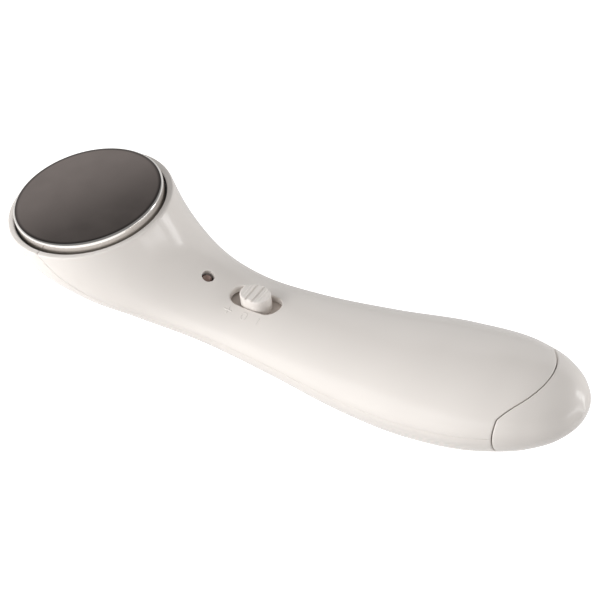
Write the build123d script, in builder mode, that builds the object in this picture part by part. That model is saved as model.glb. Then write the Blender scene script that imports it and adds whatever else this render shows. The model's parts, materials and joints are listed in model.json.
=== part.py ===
from build123d import *
import os
from collections import namedtuple
from math import cos, hypot, pi, radians, sin, tan

# Handheld electronic cream applicator, lying on its belly.
# Millimetres. +X runs from the treatment head to the tail, +Z is up, the table is z = 0.
# The origin is on the table, half way along, so the head is on the -X side.

# Overall sizes
total_length = 185.5
plate_dia = 44.0
plate_height = 29.0
head_tilt = 14.25

# Walls and fits
wall = 2.2
parting_gap = 0.1
seam_gap = 0.25
spigot_clearance = 0.15
seat_clearance = 0.3
screw_clearance = 0.05

# Treatment head, measured square to the plate
plate_stand = 3.0
plate_thickness = 1.0
plate_edge_radius = 0.65
plate_skirt = 4.8
plate_gap = 0.45
lip_width = 1.9
lip_round = 0.45
recess_depth = 4.0
ledge_width = 1.3
frame_thickness = 1.8
frame_bore_gap = 0.8
carrier_boss_drop = 9.0
carrier_boss_length = 5.2
carrier_boss_corner = 2.0
ring_inset = 3.0
ring_width = 2.5
ring_thickness = 1.2
carrier_screw_inset = 2.3
carrier_clearance = 0.1

# Vibration motor, hung under the carrier
motor_dia = 10.0
motor_length = 13.0
motor_front = -2.5
motor_to_boss = 0.6
end_bell_length = 2.6
holder_wall = 1.9
holder_length = 9.0
holder_setback = 2.0
holder_flange = 1.8
holder_screw_offset = 1.5
holder_flange_overhang = 1.8
shaft_dia = 1.5
shaft_reach = 7.6
shaft_running_clearance = 0.06
weight_dia = 8.8
weight_length = 4.2
weight_hub_dia = 4.0
weight_setback = 0.4
weight_overlap = 0.3
motor_nose = (3.6, 1.0)
motor_can_edge = 0.5
bell_step = 0.4
bell_flat_inset = 1.0
terminal_size = (1.2, 0.5, 1.6)
terminal_side = 2.0
holder_fit = 0.03
holder_slit = 1.4

# Profile of the housing: heights above the table, widths side to side
belly_flat = 0.5
neck_height = 16.7
neck_width = 27.8
swell_height = 31.1
swell_width = 41.6
swell_belly = 3.7
shoulder_height = 36.8
shoulder_width = 38.2
shoulder_belly = 11.0
tail_tip_height = 30.4

# Parting line of the housing: where it starts on the lip and its first bend, and its tongue joint
parting_start = (-1.8, -0.4)
parting_bend = (5.4, -5.6)
tongue_height = 1.2
tongue_clearance = 0.2
tongue_end_gap = 1.0

# Switch
switch_from_plate = 56.6
switch_height = 16.9
switch_tilt = 5.5
slot_length = 16.0
slot_width = 7.6
switch_travel = 3.0
knob_width = 7.1
knob_height = 2.7
knob_edge = 0.5
knob_side_clearance = 0.4
knob_rib_width = 1.4
knob_rib_height = 0.3
knob_groove_width = 0.6
knob_groove_depth = 0.35
shutter_depth = 2.45
shutter_thickness = 0.8
shutter_cover = 0.7
shutter_side = 1.4
shutter_lift = 0.15
shutter_corner = 1.0
pocket_clearance = 0.4
switch_body = (13.0, 7.0, 4.4)
frame_sheet = 0.4
frame_lift = 0.2
base_thickness = 1.4
base_clearance = 0.02
stem_length = 3.6
stem_width = 2.4
stem_drop = 0.2
stem_slot_clearance = 0.4
socket_clearance = 0.1
lever_flange = 0.7
lever_inset = 1.0
lever_low = 2.6
lever_height = 2.1

# Indicator
led_from_plate = 40.6
led_height = 17.95
led_tilt = -17.0
led_dia = 3.0
led_hole_clearance = 0.35
led_sink = 0.55
led_length = 5.2
led_flange_width = 0.4
led_flange_height = 1.0
leg_dia = 0.5
leg_pitch = 2.54

# Circuit board, measured along it from the switch
board_depth = 8.4
board_width = 16.0
board_thickness = 1.6
board_front = -24.0
board_to_tray = 4.0
board_corner = 1.5
front_boss_inset = 3.5
front_boss_side = -4.0
rear_boss_from_switch = 18.5
boss_dia = 4.6

# Soldered pieces: place on the board, then length, width and height
chip_spot = (11.6, 0)
chip_size = (3.9, 4.9, 1.4)
chip_lift = 0.15
chip_lead = (1.2, 0.42, 0.5)
chip_lead_reach = 2.4
chip_lead_pitch = 1.27
chip_leads = 4
capacitor_spot = (27.0, -3.6)
capacitor_size = (5.0, 6.0)
capacitor_edge = 0.4
transistor_spot = (23.5, 4.4)
transistor_size = (2.9, 1.5, 1.1)
resistor_size = (2.0, 1.25, 0.5)
front_resistors = (9.0, -6.3)
rear_resistors = (29.0, 3.2)
resistor_pitch = (3.1, 2.6)

# Screws: thread, head diameter and head height, and how deep they bite
carrier_screw = (1.7, 3.4, 1.2)
carrier_screw_bite = 1.8
holder_screw_head = (3.0, 1.1)
holder_screw_bite = 4.6
board_screw = (1.8, 3.4, 1.0)
board_screw_bite = 4.6
bore_end_gap = 0.4
frame_hole_clearance = 0.2
board_hole_clearance = 0.15
cross_length = 0.6
cross_width = 0.14
cross_depth = 0.5

# Battery bay: two AAA cells side by side
cell_dia = 10.5
cell_length = 44.5
cell_nub_dia = 3.8
cell_nub_length = 1.0
cell_gap = 0.5
cell_edge = 0.5
cell_offset = 0.4
bay_tilt = 14.0
bay_from_tail = 63.1
bay_height = 15.3
bulkhead_gap = 1.6
bulkhead_thickness = 2.0
contact_thickness = 0.4
contact_size = 7.4
contact_corner = 0.8
contact_tab_width = 2.2
contact_tab_height = 3.0
contact_tab_reach = 1.6
spring_ring = (2.6, 1.4, 0.5)
tray_length = 36.0
tray_floor = 1.4
tray_floor_gap = 0.5
tray_ribs = 4
rib_thickness = 2.0
rib_front = 1.5
rib_height = 5.4
rib_overhang = 0.7
cell_side_clearance = 0.2
tab_slot_width = 3.2
tab_slot_height = 0.8

# Bridge contact and the post that carries it
cover_contact_gap = 1.1
bridge_size = (6.0, 1.0)
bridge_inset = 1.5
post_size = (14.0, 5.0)
post_corner = 1.0

# Battery cover
seam_from_tail = 18.8
seam_corner = 15.5
seam_slope = 36.5
seam_tip_radius = 17.5
seam_corner_radius = 0.8
spigot_reach = 4.5
spigot_root = 4.0
spigot_wall = 1.3

# Wires: diameter, straight ends and solder pads, measured along and across the board
wire_dia = 1.0
motor_lead_out = 5.0
motor_lead_spread = 0.4
motor_lead_crest = 1.2
motor_lead_pads = (2.4, 5.0, 2.0)
motor_lead_drop = 5.0
battery_lead_out = 3.4
battery_lead_pads = (5.0, 6.0)
battery_lead_drop = 3.2

# Places worked out from the sizes above
lip_radius = plate_dia / 2 + plate_gap + lip_width
recess_radius = plate_dia / 2 + plate_gap
tilt_cos = cos(radians(head_tilt))
tilt_sin = sin(radians(head_tilt))
tail_x = total_length / 2
head_x = -total_length / 2 + lip_radius * tilt_cos - plate_stand * tilt_sin

head = Plane(
    origin=(head_x, 0, plate_height),
    x_dir=(tilt_cos, 0, tilt_sin),
    z_dir=(-tilt_sin, 0, tilt_cos),
)
switch = Plane(
    origin=(head_x + switch_from_plate, 0, switch_height),
    x_dir=(cos(radians(switch_tilt)), 0, sin(radians(switch_tilt))),
    z_dir=(-sin(radians(switch_tilt)), 0, cos(radians(switch_tilt))),
)
indicator = Plane(
    origin=(head_x + led_from_plate, 0, led_height),
    x_dir=(cos(radians(led_tilt)), 0, sin(radians(led_tilt))),
    z_dir=(-sin(radians(led_tilt)), 0, cos(radians(led_tilt))),
)
bay = Plane(
    origin=(tail_x - bay_from_tail, 0, bay_height),
    x_dir=(0, 1, 0),
    z_dir=(cos(radians(bay_tilt)), 0, sin(radians(bay_tilt))),
)

# Outline of the housing, station by station from the lip to the tail.
# Each station is an egg-shaped section between a top and a bottom point (x, z); the widest line
# lies at the given share of the way down.
Station = namedtuple("Station", "top bottom half_width share")

lip_x = head_x + plate_stand * tilt_sin
lip_z = plate_height - plate_stand * tilt_cos
lip_top = (lip_x + lip_radius * tilt_cos, lip_z + lip_radius * tilt_sin)
lip_nose = (lip_x - lip_radius * tilt_cos, lip_z - lip_radius * tilt_sin)
neck_x = head_x + 54.4
grip_x = head_x + 71.0
swell_x = tail_x - 45.4
palm_x = (grip_x + swell_x) / 2

lip = Station(lip_top, lip_nose, lip_radius, 0.50)
cheek = Station(
    (lip_top[0] + 5.2, lip_top[1] - 6.8), (lip_nose[0] + 4.9, lip_nose[1] - 10.0), lip_radius - 1.55, 0.49
)
throat = Station(
    (lip_top[0] + 11.5, neck_height + 3.5), (lip_nose[0] + 18.9, 3.2 - belly_flat), lip_radius - 4.6, 0.46
)
neck_front = Station(
    (neck_x - 11.1, neck_height + 0.6), (neck_x - 38.3, 0.5 - belly_flat), neck_width / 2 + 2.2, 0.43
)
neck = Station((neck_x, neck_height), (neck_x - 13.9, 0.15 - belly_flat), neck_width / 2, 0.42)
grip = Station((grip_x, neck_height + 2.4), (grip_x - 4.5, -belly_flat), neck_width / 2 + 1.1, 0.42)
palm = Station(
    (palm_x - 0.6, neck_height + 7.4),
    (palm_x - 1.4, 0.4 - belly_flat),
    (neck_width + swell_width) / 4 + 0.9,
    0.42,
)
swell = Station((swell_x, swell_height), (swell_x - 0.4, swell_belly), swell_width / 2, 0.43)
shoulder = Station(
    (tail_x - 23.0, shoulder_height), (tail_x - 22.3, shoulder_belly), shoulder_width / 2, 0.45
)
dome = Station(
    (tail_x - 12.9, shoulder_height + 1.1), (tail_x - 11.0, shoulder_belly + 5.5), shoulder_width * 0.4, 0.47
)
dome_end = Station((tail_x - 5.5, tail_tip_height + 6.0), (tail_x - 3.8, tail_tip_height - 8.2), 10.1, 0.48)
nose_cap = Station((tail_x - 2.1, tail_tip_height + 3.4), (tail_x - 0.7, tail_tip_height - 3.6), 5.6, 0.49)
tip = Station((tail_x - 0.1, tail_tip_height + 1.1), (tail_x - 0.03, tail_tip_height - 1.0), 1.5, 0.50)

stations = [
    lip, cheek, throat, neck_front, neck, grip, palm, swell, shoulder, dome, dome_end, nose_cap, tip
]
steps_between = 3


def towards(start, end):
    """Unit step in the side view from one point to another."""
    length = hypot(end[0] - start[0], end[1] - start[1])
    return ((end[0] - start[0]) / length, (end[1] - start[1]) / length)


def values(row):
    """The six numbers of a station in one row."""
    return [*row.top, *row.bottom, row.half_width, row.share]


def smooth_rows():
    """Stations with evenly spaced ones between them, on a cubic curve through each number.

    The curve's slope at a station is the mean of the slopes on both sides, each weighted by the
    length of the other, so that it neither overshoots nor kinks.
    """
    known = [values(row) for row in stations]
    gaps = [
        (hypot(b[0] - a[0], b[1] - a[1]) + hypot(b[2] - a[2], b[3] - a[3])) / 2
        for a, b in zip(known, known[1:])
    ]
    chords = [[(q - p) / gap for p, q in zip(a, b)] for a, b, gap in zip(known, known[1:], gaps)]
    inner = [
        [(p * right + q * left) / (left + right) for p, q in zip(before, after)]
        for before, after, left, right in zip(chords, chords[1:], gaps, gaps[1:])
    ]
    slopes = [chords[0]] + inner + [chords[-1]]
    rows = []
    for index, gap in enumerate(gaps):
        for step in range(steps_between):
            u = step / steps_between
            row = [
                p * (1 + 2 * u) * (1 - u) ** 2
                + q * u * u * (3 - 2 * u)
                + gap * m * u * (1 - u) ** 2
                - gap * n * u * u * (1 - u)
                for p, q, m, n in zip(
                    known[index], known[index + 1], slopes[index], slopes[index + 1]
                )
            ]
            rows.append(Station((row[0], row[1]), (row[2], row[3]), row[4], row[5]))
    return rows + [stations[-1]]


outer_rows = smooth_rows()


def slant(index, side):
    """Sine of the angle between a station's own line and the housing's top or bottom line."""
    before = outer_rows[max(index - 1, 0)]
    after = outer_rows[min(index + 1, len(outer_rows) - 1)]
    run = towards(getattr(before, side), getattr(after, side))
    up = towards(outer_rows[index].bottom, outer_rows[index].top)
    return abs(up[0] * run[1] - up[1] * run[0])


def flare(index):
    """Extra draw-in of the width where the sides run in towards the tail."""
    before = outer_rows[max(index - 1, 0)]
    after = outer_rows[min(index + 1, len(outer_rows) - 1)]
    run = hypot(
        (after.top[0] + after.bottom[0] - before.top[0] - before.bottom[0]) / 2,
        (after.top[1] + after.bottom[1] - before.top[1] - before.bottom[1]) / 2,
    )
    return hypot(1, (after.half_width - before.half_width) / run)


def egg(index, inset):
    """Plane, half width, upper and lower height of a station drawn in by the inset."""
    row = outer_rows[index]
    up = towards(row.bottom, row.top)
    full = hypot(row.top[0] - row.bottom[0], row.top[1] - row.bottom[1])
    upper = full * row.share - inset / slant(index, "top")
    lower = full * (1 - row.share) - inset / slant(index, "bottom")
    half_width = row.half_width - inset * flare(index)
    centre_x = row.top[0] - up[0] * full * row.share
    centre_z = row.top[1] - up[1] * full * row.share
    plane = Plane(origin=(centre_x, 0, centre_z), x_dir=(0, 1, 0), z_dir=(up[1], 0, -up[0]))
    return plane, half_width, upper, lower


def tube(first, last, inset=0.0, first_inset=None):
    """Smooth body through the stations from first to last, drawn in by the inset."""
    with BuildPart() as body:
        for index in range(first, last + 1):
            amount = first_inset if index == first and first_inset is not None else inset
            plane, half_width, upper, lower = egg(index, amount)
            with BuildSketch(plane):
                with BuildLine():
                    EllipticalCenterArc((0, 0), half_width, upper, 0, arc_size=90)
                    EllipticalCenterArc((0, 0), half_width, upper, 90, arc_size=90)
                    EllipticalCenterArc((0, 0), half_width, lower, 180, arc_size=90)
                    EllipticalCenterArc((0, 0), half_width, lower, 270, arc_size=90)
                make_face()
        loft()
    return body.part


def widest(row):
    """Point on a station's widest line, in the side view."""
    return (
        row.top[0] + (row.bottom[0] - row.top[0]) * row.share,
        row.top[1] + (row.bottom[1] - row.top[1]) * row.share,
    )


reach = 2 * swell_width


def above_parting(gap=0.0):
    """Space above the parting line, which drops from the side of the lip to the widest line."""
    start_x = lip_x + parting_start[0] - gap
    start_z = lip_z + parting_start[1]
    line = [widest(row) for row in (throat, neck_front, neck, grip, palm, swell, shoulder, dome)]
    points = [(start_x, start_z), (start_x + parting_bend[0], start_z + parting_bend[1])] + line
    lowered = [(x, z - gap) for x, z in points]
    with BuildPart() as space:
        with BuildSketch(Plane.XZ):
            with BuildLine():
                Spline(*lowered)
                Polyline(
                    lowered[-1],
                    (tail_x + reach, lowered[-1][1]),
                    (tail_x + reach, reach),
                    (start_x, reach),
                    lowered[0],
                )
            make_face()
        extrude(amount=reach, both=True)
    return space.part


def behind_seam(shift=0.0):
    """Space behind the battery cover's seam, whose tongue points to the tail."""
    seam_x = tail_x - seam_from_tail + shift
    tongue = seam_corner * tan(radians(seam_slope))
    far_x = tail_x + reach
    points = [
        (far_x, reach),
        (seam_x, reach),
        (seam_x, seam_corner),
        (seam_x + tongue, 0),
        (seam_x, -seam_corner),
        (seam_x, -reach),
        (far_x, -reach),
    ]
    with BuildPart() as space:
        with BuildSketch(Plane.XY.offset(-reach)):
            with BuildLine():
                Polyline(*points, close=True)
            make_face()
            corners = vertices().filter_by(lambda v: abs(abs(v.Y) - seam_corner) < 0.01)
            fillet(corners, seam_corner_radius)
            fillet(vertices().filter_by(lambda v: abs(v.Y) < 0.01), seam_tip_radius)
        extrude(amount=2 * reach)
    return space.part


def save(part, name):
    """Label a finished piece and write it."""
    part.label = name
    export_step(part, f"parts/{name}.step")


def trimmed(form, inside=(), outside=()):
    """A form kept inside some spaces and cut by others."""
    with BuildPart() as piece:
        add(form)
        for space in inside:
            add(space, mode=Mode.INTERSECT)
        for space in outside:
            add(space, mode=Mode.SUBTRACT)
    return piece.part


def bar(plane, dia, low, high, spots=((0, 0),)):
    """Round bars square to a plane, between two distances from it."""
    with BuildPart() as bars:
        with BuildSketch(plane.offset(low)):
            with Locations(*spots):
                Circle(dia / 2)
        extrude(amount=high - low)
    return bars.part


def block(plane, length, width, low, high, spot=(0, 0), corner=0.0):
    """Bar of rectangular section square to a plane, between two distances from it."""
    with BuildPart() as bars:
        with BuildSketch(plane.offset(low)):
            with Locations(spot):
                if corner > 0:
                    RectangleRounded(length, width, corner)
                else:
                    Rectangle(length, width)
        extrude(amount=high - low)
    return bars.part


os.makedirs("parts", exist_ok=True)
last_row = len(outer_rows) - 1
hollow_row = stations.index(dome_end) * steps_between
swell_row = stations.index(swell) * steps_between

above_table = Plane.XY
outer_form = trimmed(tube(0, last_row), inside=[block(above_table, total_length, reach, 0, reach)])
cavity = tube(0, hollow_row, wall, wall + ledge_width)
inner_form = tube(0, hollow_row, wall + seat_clearance, wall + ledge_width)
spigot_form = tube(swell_row, hollow_row, wall + spigot_clearance)
spigot_bore = tube(swell_row, hollow_row, wall + spigot_clearance + spigot_wall)
boss_limit = tube(0, hollow_row, wall / 2)


def screws(plane, spots, head_face, head_height, head_dia, dia, length):
    """Pan-head screws driven up from a face, with a cross slot in each head."""
    with BuildPart() as group:
        with BuildSketch(plane.offset(head_face - head_height)):
            with Locations(*spots):
                Circle(head_dia / 2)
        extrude(amount=head_height)
        with BuildSketch(plane.offset(head_face)):
            with Locations(*spots):
                Circle(dia / 2)
        extrude(amount=length)
        with BuildSketch(plane.offset(head_face - head_height)):
            with Locations(*spots):
                Rectangle(head_dia * cross_length, head_dia * cross_width)
                Rectangle(head_dia * cross_width, head_dia * cross_length)
        extrude(amount=head_height * cross_depth, mode=Mode.SUBTRACT)
    return group.part


def lead(points, dia):
    """Wire along straight runs joined by arcs as large as the runs allow."""
    radii = []
    for before, corner, after in zip(points, points[1:], points[2:]):
        first = Vector(*corner) - Vector(*before)
        second = Vector(*after) - Vector(*corner)
        half_turn = radians(first.get_angle(second)) / 2
        radii.append(0.45 * min(first.length, second.length) / tan(half_turn))
    print("lead arcs", [round(radius, 1) for radius in radii])
    with BuildPart() as wire:
        with BuildLine() as route:
            FilletPolyline(*points, radius=radii)
        start = Plane(origin=route.line @ 0, z_dir=route.line % 0)
        with BuildSketch(start):
            Circle(dia / 2)
        sweep()
    ratio = wire.part.volume / (pi * dia * dia / 4 * route.wires()[0].length)
    print("lead volume against section times length", round(ratio, 4))
    return wire.part


# Housing, still in one piece: shell, recess for the plate, spigot for the battery cover
recess_floor = -plate_stand - recess_depth
spigot = trimmed(spigot_form, inside=[behind_seam(-spigot_root)], outside=[behind_seam(spigot_reach)])
front_cavity = trimmed(cavity, outside=[behind_seam(-spigot_root)])
rear_cavity = trimmed(spigot_bore, inside=[behind_seam(-spigot_root)])
plate_recess = bar(head, 2 * recess_radius, recess_floor, reach)

with BuildPart() as housing:
    add(outer_form)
    add(behind_seam(), mode=Mode.SUBTRACT)
    add(spigot)
    add(front_cavity, mode=Mode.SUBTRACT)
    add(rear_cavity, mode=Mode.SUBTRACT)
    add(plate_recess, mode=Mode.SUBTRACT)
    on_lip = edges().filter_by(
        lambda e: all(abs(head.to_local_coords(e @ t).Z + plate_stand) < 0.01 for t in (0, 0.5, 1))
    )
    fillet(on_lip, lip_round)

# Upper shell: switch slot, shutter pocket, indicator hole, bosses for the board
board = switch.offset(-board_depth)
tray_front = tail_x - bay_from_tail - (bulkhead_gap + bulkhead_thickness) * cos(radians(bay_tilt))
board_back = (tray_front - board_to_tray - switch.origin.X) / cos(radians(switch_tilt))
board_centre = ((board_back + board_front) / 2, 0)
board_screw_spots = [(board_front + front_boss_inset, front_boss_side), (rear_boss_from_switch, 0)]
board_screw_dia, board_head_dia, board_head_height = board_screw
shutter_low = -shutter_depth - shutter_thickness
shutter_length = slot_length + 2 * (switch_travel + shutter_cover)
shutter_width = slot_width + 2 * shutter_side
knob_length = slot_length - 2 * (switch_travel + knob_side_clearance)
bosses = trimmed(
    bar(board, boss_dia, 0, reach, board_screw_spots), inside=[boss_limit]
)
boss_bores = bar(
    board, board_screw_dia + 2 * screw_clearance, 0, board_screw_bite + bore_end_gap, board_screw_spots
)
shutter_pocket = block(
    switch, shutter_length + 2 * (switch_travel + pocket_clearance),
    shutter_width + 2 * pocket_clearance, -board_depth, shutter_lift - shutter_depth
)
led_hole = bar(indicator, led_dia + 2 * led_hole_clearance, -2 * wall, wall)

# Tongue joint on the inner half of the wall, from behind the head to the spigot
joint_start = widest(throat)[0] + tongue_end_gap
joint_end = tail_x - seam_from_tail - spigot_root - tongue_end_gap
joint_block = block(
    Plane.XY, joint_end - joint_start, reach, 0, reach, ((joint_start + joint_end) / 2, 0)
)
rebate_block = block(
    Plane.XY, joint_end - joint_start + 2 * tongue_clearance, reach, 0, reach,
    ((joint_start + joint_end) / 2, 0)
)
tongue_zone = trimmed(
    tube(0, hollow_row, (wall + tongue_clearance) / 2), inside=[joint_block],
    outside=[above_parting(-tongue_height)]
)
rebate = trimmed(
    tube(0, hollow_row, (wall - tongue_clearance) / 2), inside=[rebate_block],
    outside=[above_parting(-tongue_height - tongue_clearance)]
)

with BuildPart() as upper_shell:
    add(housing.part)
    add(above_parting(), mode=Mode.INTERSECT)
    add(rebate, mode=Mode.SUBTRACT)
    add(bosses)
    add(boss_bores, mode=Mode.SUBTRACT)
    add(shutter_pocket, mode=Mode.SUBTRACT)
    with BuildSketch(switch.offset(-board_depth / 2)):
        SlotOverall(slot_length, slot_width)
    extrude(amount=board_depth, mode=Mode.SUBTRACT)
    add(led_hole, mode=Mode.SUBTRACT)
save(upper_shell.part, "upper_shell")

# Lower shell: belly and front of the lip
with BuildPart() as lower_shell:
    add(housing.part)
    add(trimmed(above_parting(parting_gap), outside=[tongue_zone]), mode=Mode.SUBTRACT)
save(lower_shell.part, "lower_shell")

# Battery cover: tail cap with a post that carries the bridge contact
cover_contact_at = cell_length - cell_nub_length + cover_contact_gap
cover_post = trimmed(
    block(bay, *post_size, cover_contact_at + contact_thickness, reach, corner=post_corner),
    inside=[boss_limit]
)
with BuildPart() as battery_cover:
    add(outer_form)
    add(behind_seam(seam_gap), mode=Mode.INTERSECT)
    add(cavity, mode=Mode.SUBTRACT)
    add(cover_post)
save(battery_cover.part, "battery_cover")

# Treatment plate: drawn metal cap with a flat face and a rounded edge
with BuildPart() as treatment_plate:
    with BuildSketch(head.offset(-plate_skirt)):
        Circle(plate_dia / 2)
    extrude(amount=plate_skirt)
    rim = edges().filter_by(GeomType.CIRCLE).filter_by(
        lambda e: abs(head.to_local_coords(e.position_at(0)).Z) < 0.01
    )
    fillet(rim, plate_edge_radius)
    with BuildSketch(head.offset(-plate_skirt)):
        Circle(plate_dia / 2 - plate_thickness)
    extrude(amount=plate_skirt - plate_thickness, mode=Mode.SUBTRACT)
save(treatment_plate.part, "treatment_plate")

# Carrier: fills the plate and hangs the motor below the frame
frame_top = recess_floor + frame_thickness
ring_top = frame_top + ring_thickness
ring_radius = plate_dia / 2 - ring_inset
carrier_screw_ring = ring_radius - ring_width - carrier_screw_inset
carrier_screw_dia, carrier_head_dia, carrier_head_height = carrier_screw
carrier_spots = [
    (carrier_screw_ring * cos(radians(angle)), carrier_screw_ring * sin(radians(angle)))
    for angle in (0, 120, 240)
]
holder_radius = motor_dia / 2 + holder_wall
holder_centre = motor_front + holder_setback + holder_length / 2
holder_screw_side = holder_radius + holder_screw_offset
holder_screw_spots = [(holder_centre, -holder_screw_side), (holder_centre, holder_screw_side)]
holder_flange_width = 2 * (holder_screw_side + holder_flange_overhang)
carrier_boss = block(
    head, carrier_boss_length, holder_flange_width, -carrier_boss_drop, ring_top,
    (holder_centre, 0), carrier_boss_corner
)
with BuildPart() as plate_carrier:
    with BuildSketch(head.offset(ring_top)):
        Circle(plate_dia / 2 - plate_thickness - carrier_clearance)
    extrude(amount=-plate_thickness - ring_top)
    add(carrier_boss)
    with BuildSketch(head.offset(ring_top)):
        with Locations(*carrier_spots):
            Circle(carrier_screw_dia / 2 + screw_clearance)
    extrude(amount=carrier_screw_bite + bore_end_gap, mode=Mode.SUBTRACT)
    with BuildSketch(head.offset(-carrier_boss_drop)):
        with Locations(*holder_screw_spots):
            Circle(carrier_screw_dia / 2 + screw_clearance)
    extrude(amount=holder_screw_bite + bore_end_gap, mode=Mode.SUBTRACT)
save(plate_carrier.part, "plate_carrier")

with BuildPart() as cushion_ring:
    with BuildSketch(head.offset(frame_top)):
        Circle(ring_radius)
        Circle(ring_radius - ring_width, mode=Mode.SUBTRACT)
    extrude(amount=ring_thickness)
save(cushion_ring.part, "cushion_ring")

with BuildPart() as head_frame:
    with BuildSketch(head.offset(recess_floor)):
        Circle(recess_radius - carrier_clearance)
        with Locations((holder_centre, 0)):
            RectangleRounded(
                carrier_boss_length + 2 * frame_bore_gap,
                holder_flange_width + 2 * frame_bore_gap,
                carrier_boss_corner + frame_bore_gap,
                mode=Mode.SUBTRACT,
            )
        with Locations(*carrier_spots):
            Circle(carrier_screw_dia / 2 + frame_hole_clearance, mode=Mode.SUBTRACT)
    extrude(amount=frame_thickness)
save(head_frame.part, "head_frame")

save(screws(head, carrier_spots, recess_floor, carrier_head_height, carrier_head_dia, carrier_screw_dia,
            frame_thickness + ring_thickness + carrier_screw_bite), "carrier_screws")

# Motor: can, end bell, terminals, shaft and eccentric weight
motor_drop = carrier_boss_drop + motor_to_boss + motor_dia / 2
motor = Plane(
    origin=head.from_local_coords((0, 0, -motor_drop)), x_dir=(0, 1, 0), z_dir=head.x_dir
)
motor_back = motor_front + motor_length
bell_back = motor_back + end_bell_length
shaft_bore = shaft_dia + 2 * shaft_running_clearance
nose_dia, nose_length = motor_nose
with BuildPart() as motor_can:
    with BuildSketch(motor.offset(motor_front)):
        Circle(motor_dia / 2)
    extrude(amount=motor_length)
    fillet(edges().filter_by(GeomType.CIRCLE), motor_can_edge)
    with BuildSketch(motor.offset(motor_front - nose_length)):
        Circle(nose_dia / 2)
    extrude(amount=nose_length + holder_fit)
    with BuildSketch(motor.offset(motor_front - nose_length)):
        Circle(shaft_bore / 2)
    extrude(amount=motor_length - nose_length, mode=Mode.SUBTRACT)
save(motor_can.part, "motor_can")

with BuildPart() as motor_end_bell:
    with BuildSketch(motor.offset(motor_back)):
        Circle(motor_dia / 2 - bell_step)
        Rectangle(motor_dia, motor_dia - 2 * bell_flat_inset, mode=Mode.INTERSECT)
    extrude(amount=end_bell_length)
save(motor_end_bell.part, "motor_end_bell")

terminal_width, terminal_thickness, terminal_length = terminal_size
with BuildPart() as motor_terminals:
    with BuildSketch(motor.offset(bell_back)):
        with Locations((-terminal_side, 0), (terminal_side, 0)):
            Rectangle(terminal_width, terminal_thickness)
    extrude(amount=terminal_length)
save(motor_terminals.part, "motor_terminals")

shaft_front = motor_front - shaft_reach
with BuildPart() as motor_shaft:
    with BuildSketch(motor.offset(shaft_front)):
        Circle(shaft_dia / 2)
    extrude(amount=shaft_reach + motor_length - 2 * nose_length - weight_setback)
save(motor_shaft.part, "motor_shaft")

with BuildPart() as eccentric_weight:
    with BuildSketch(motor.offset(shaft_front + weight_setback)):
        Circle(weight_dia / 2)
        with Locations((0, weight_dia / 2 + weight_overlap)):
            Rectangle(weight_dia, weight_dia, mode=Mode.SUBTRACT)
        Circle(weight_hub_dia / 2)
        Circle(shaft_dia / 2 + holder_fit, mode=Mode.SUBTRACT)
    extrude(amount=weight_length)
save(eccentric_weight.part, "eccentric_weight")

flange_face = motor_drop - carrier_boss_drop
with BuildPart() as motor_holder:
    with BuildSketch(motor.offset(motor_front + holder_setback)):
        Circle(holder_radius)
        with Locations((0, flange_face / 2)):
            Rectangle(2 * holder_radius, flange_face)
        with Locations((0, flange_face - holder_flange / 2)):
            Rectangle(holder_flange_width, holder_flange)
        with Locations((0, flange_face + holder_radius)):
            Rectangle(4 * holder_radius, 2 * holder_radius, mode=Mode.SUBTRACT)
        Circle(motor_dia / 2 + holder_fit, mode=Mode.SUBTRACT)
        with Locations((0, -holder_radius)):
            Rectangle(holder_slit, 3 * holder_wall, mode=Mode.SUBTRACT)
    extrude(amount=holder_length)
    add(bar(head, carrier_screw_dia + 2 * frame_hole_clearance, -carrier_boss_drop - 3 * holder_flange,
            -carrier_boss_drop, holder_screw_spots), mode=Mode.SUBTRACT)
save(motor_holder.part, "motor_holder")
holder_head_dia, holder_head_height = holder_screw_head
save(screws(head, holder_screw_spots, -carrier_boss_drop - holder_flange, holder_head_height,
            holder_head_dia, carrier_screw_dia, holder_flange + holder_screw_bite), "holder_screws")

# Slide switch: knob and shutter move with the lever; frame and base stay on the board
switch_length, switch_depth, switch_body_height = switch_body
switch_top = switch_body_height - board_depth
with BuildPart() as switch_knob:
    with BuildSketch(switch.offset(-shutter_depth)):
        SlotOverall(knob_length, knob_width)
    extrude(amount=shutter_depth + knob_height)
    top_rim = faces().sort_by(Axis(switch.origin, switch.z_dir))[-1].edges()
    fillet(top_rim, knob_edge)
    groove_at = (knob_rib_width + knob_groove_width) / 2
    with BuildSketch(switch.offset(knob_height)):
        with Locations((-groove_at, 0), (groove_at, 0)):
            Rectangle(knob_groove_width, knob_width)
    extrude(amount=-knob_groove_depth, mode=Mode.SUBTRACT)
    with BuildSketch(switch.offset(knob_height)):
        SlotOverall(knob_width - 2 * knob_edge, knob_rib_width, rotation=90)
    extrude(amount=knob_rib_height)
    with BuildSketch(switch.offset(-shutter_depth)):
        Rectangle(stem_length + 2 * socket_clearance, stem_width + 2 * socket_clearance)
    extrude(amount=shutter_depth, mode=Mode.SUBTRACT)
save(switch_knob.part, "switch_knob")

with BuildPart() as switch_shutter:
    with BuildSketch(switch.offset(shutter_low)):
        RectangleRounded(shutter_length, shutter_width, shutter_corner)
        Rectangle(stem_length + 2 * socket_clearance, stem_width + 2 * socket_clearance,
                  mode=Mode.SUBTRACT)
    extrude(amount=shutter_thickness)
save(switch_shutter.part, "switch_shutter")

with BuildPart() as switch_lever:
    with BuildSketch(switch.offset(switch_top - lever_low)):
        Rectangle(stem_length, stem_width)
    extrude(amount=lever_low - switch_top - stem_drop)
    with BuildSketch(switch.offset(switch_top - lever_low)):
        Rectangle(stem_length + 2 * lever_flange, switch_depth - 2 * lever_inset)
    extrude(amount=lever_height)
save(switch_lever.part, "switch_lever")

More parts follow.
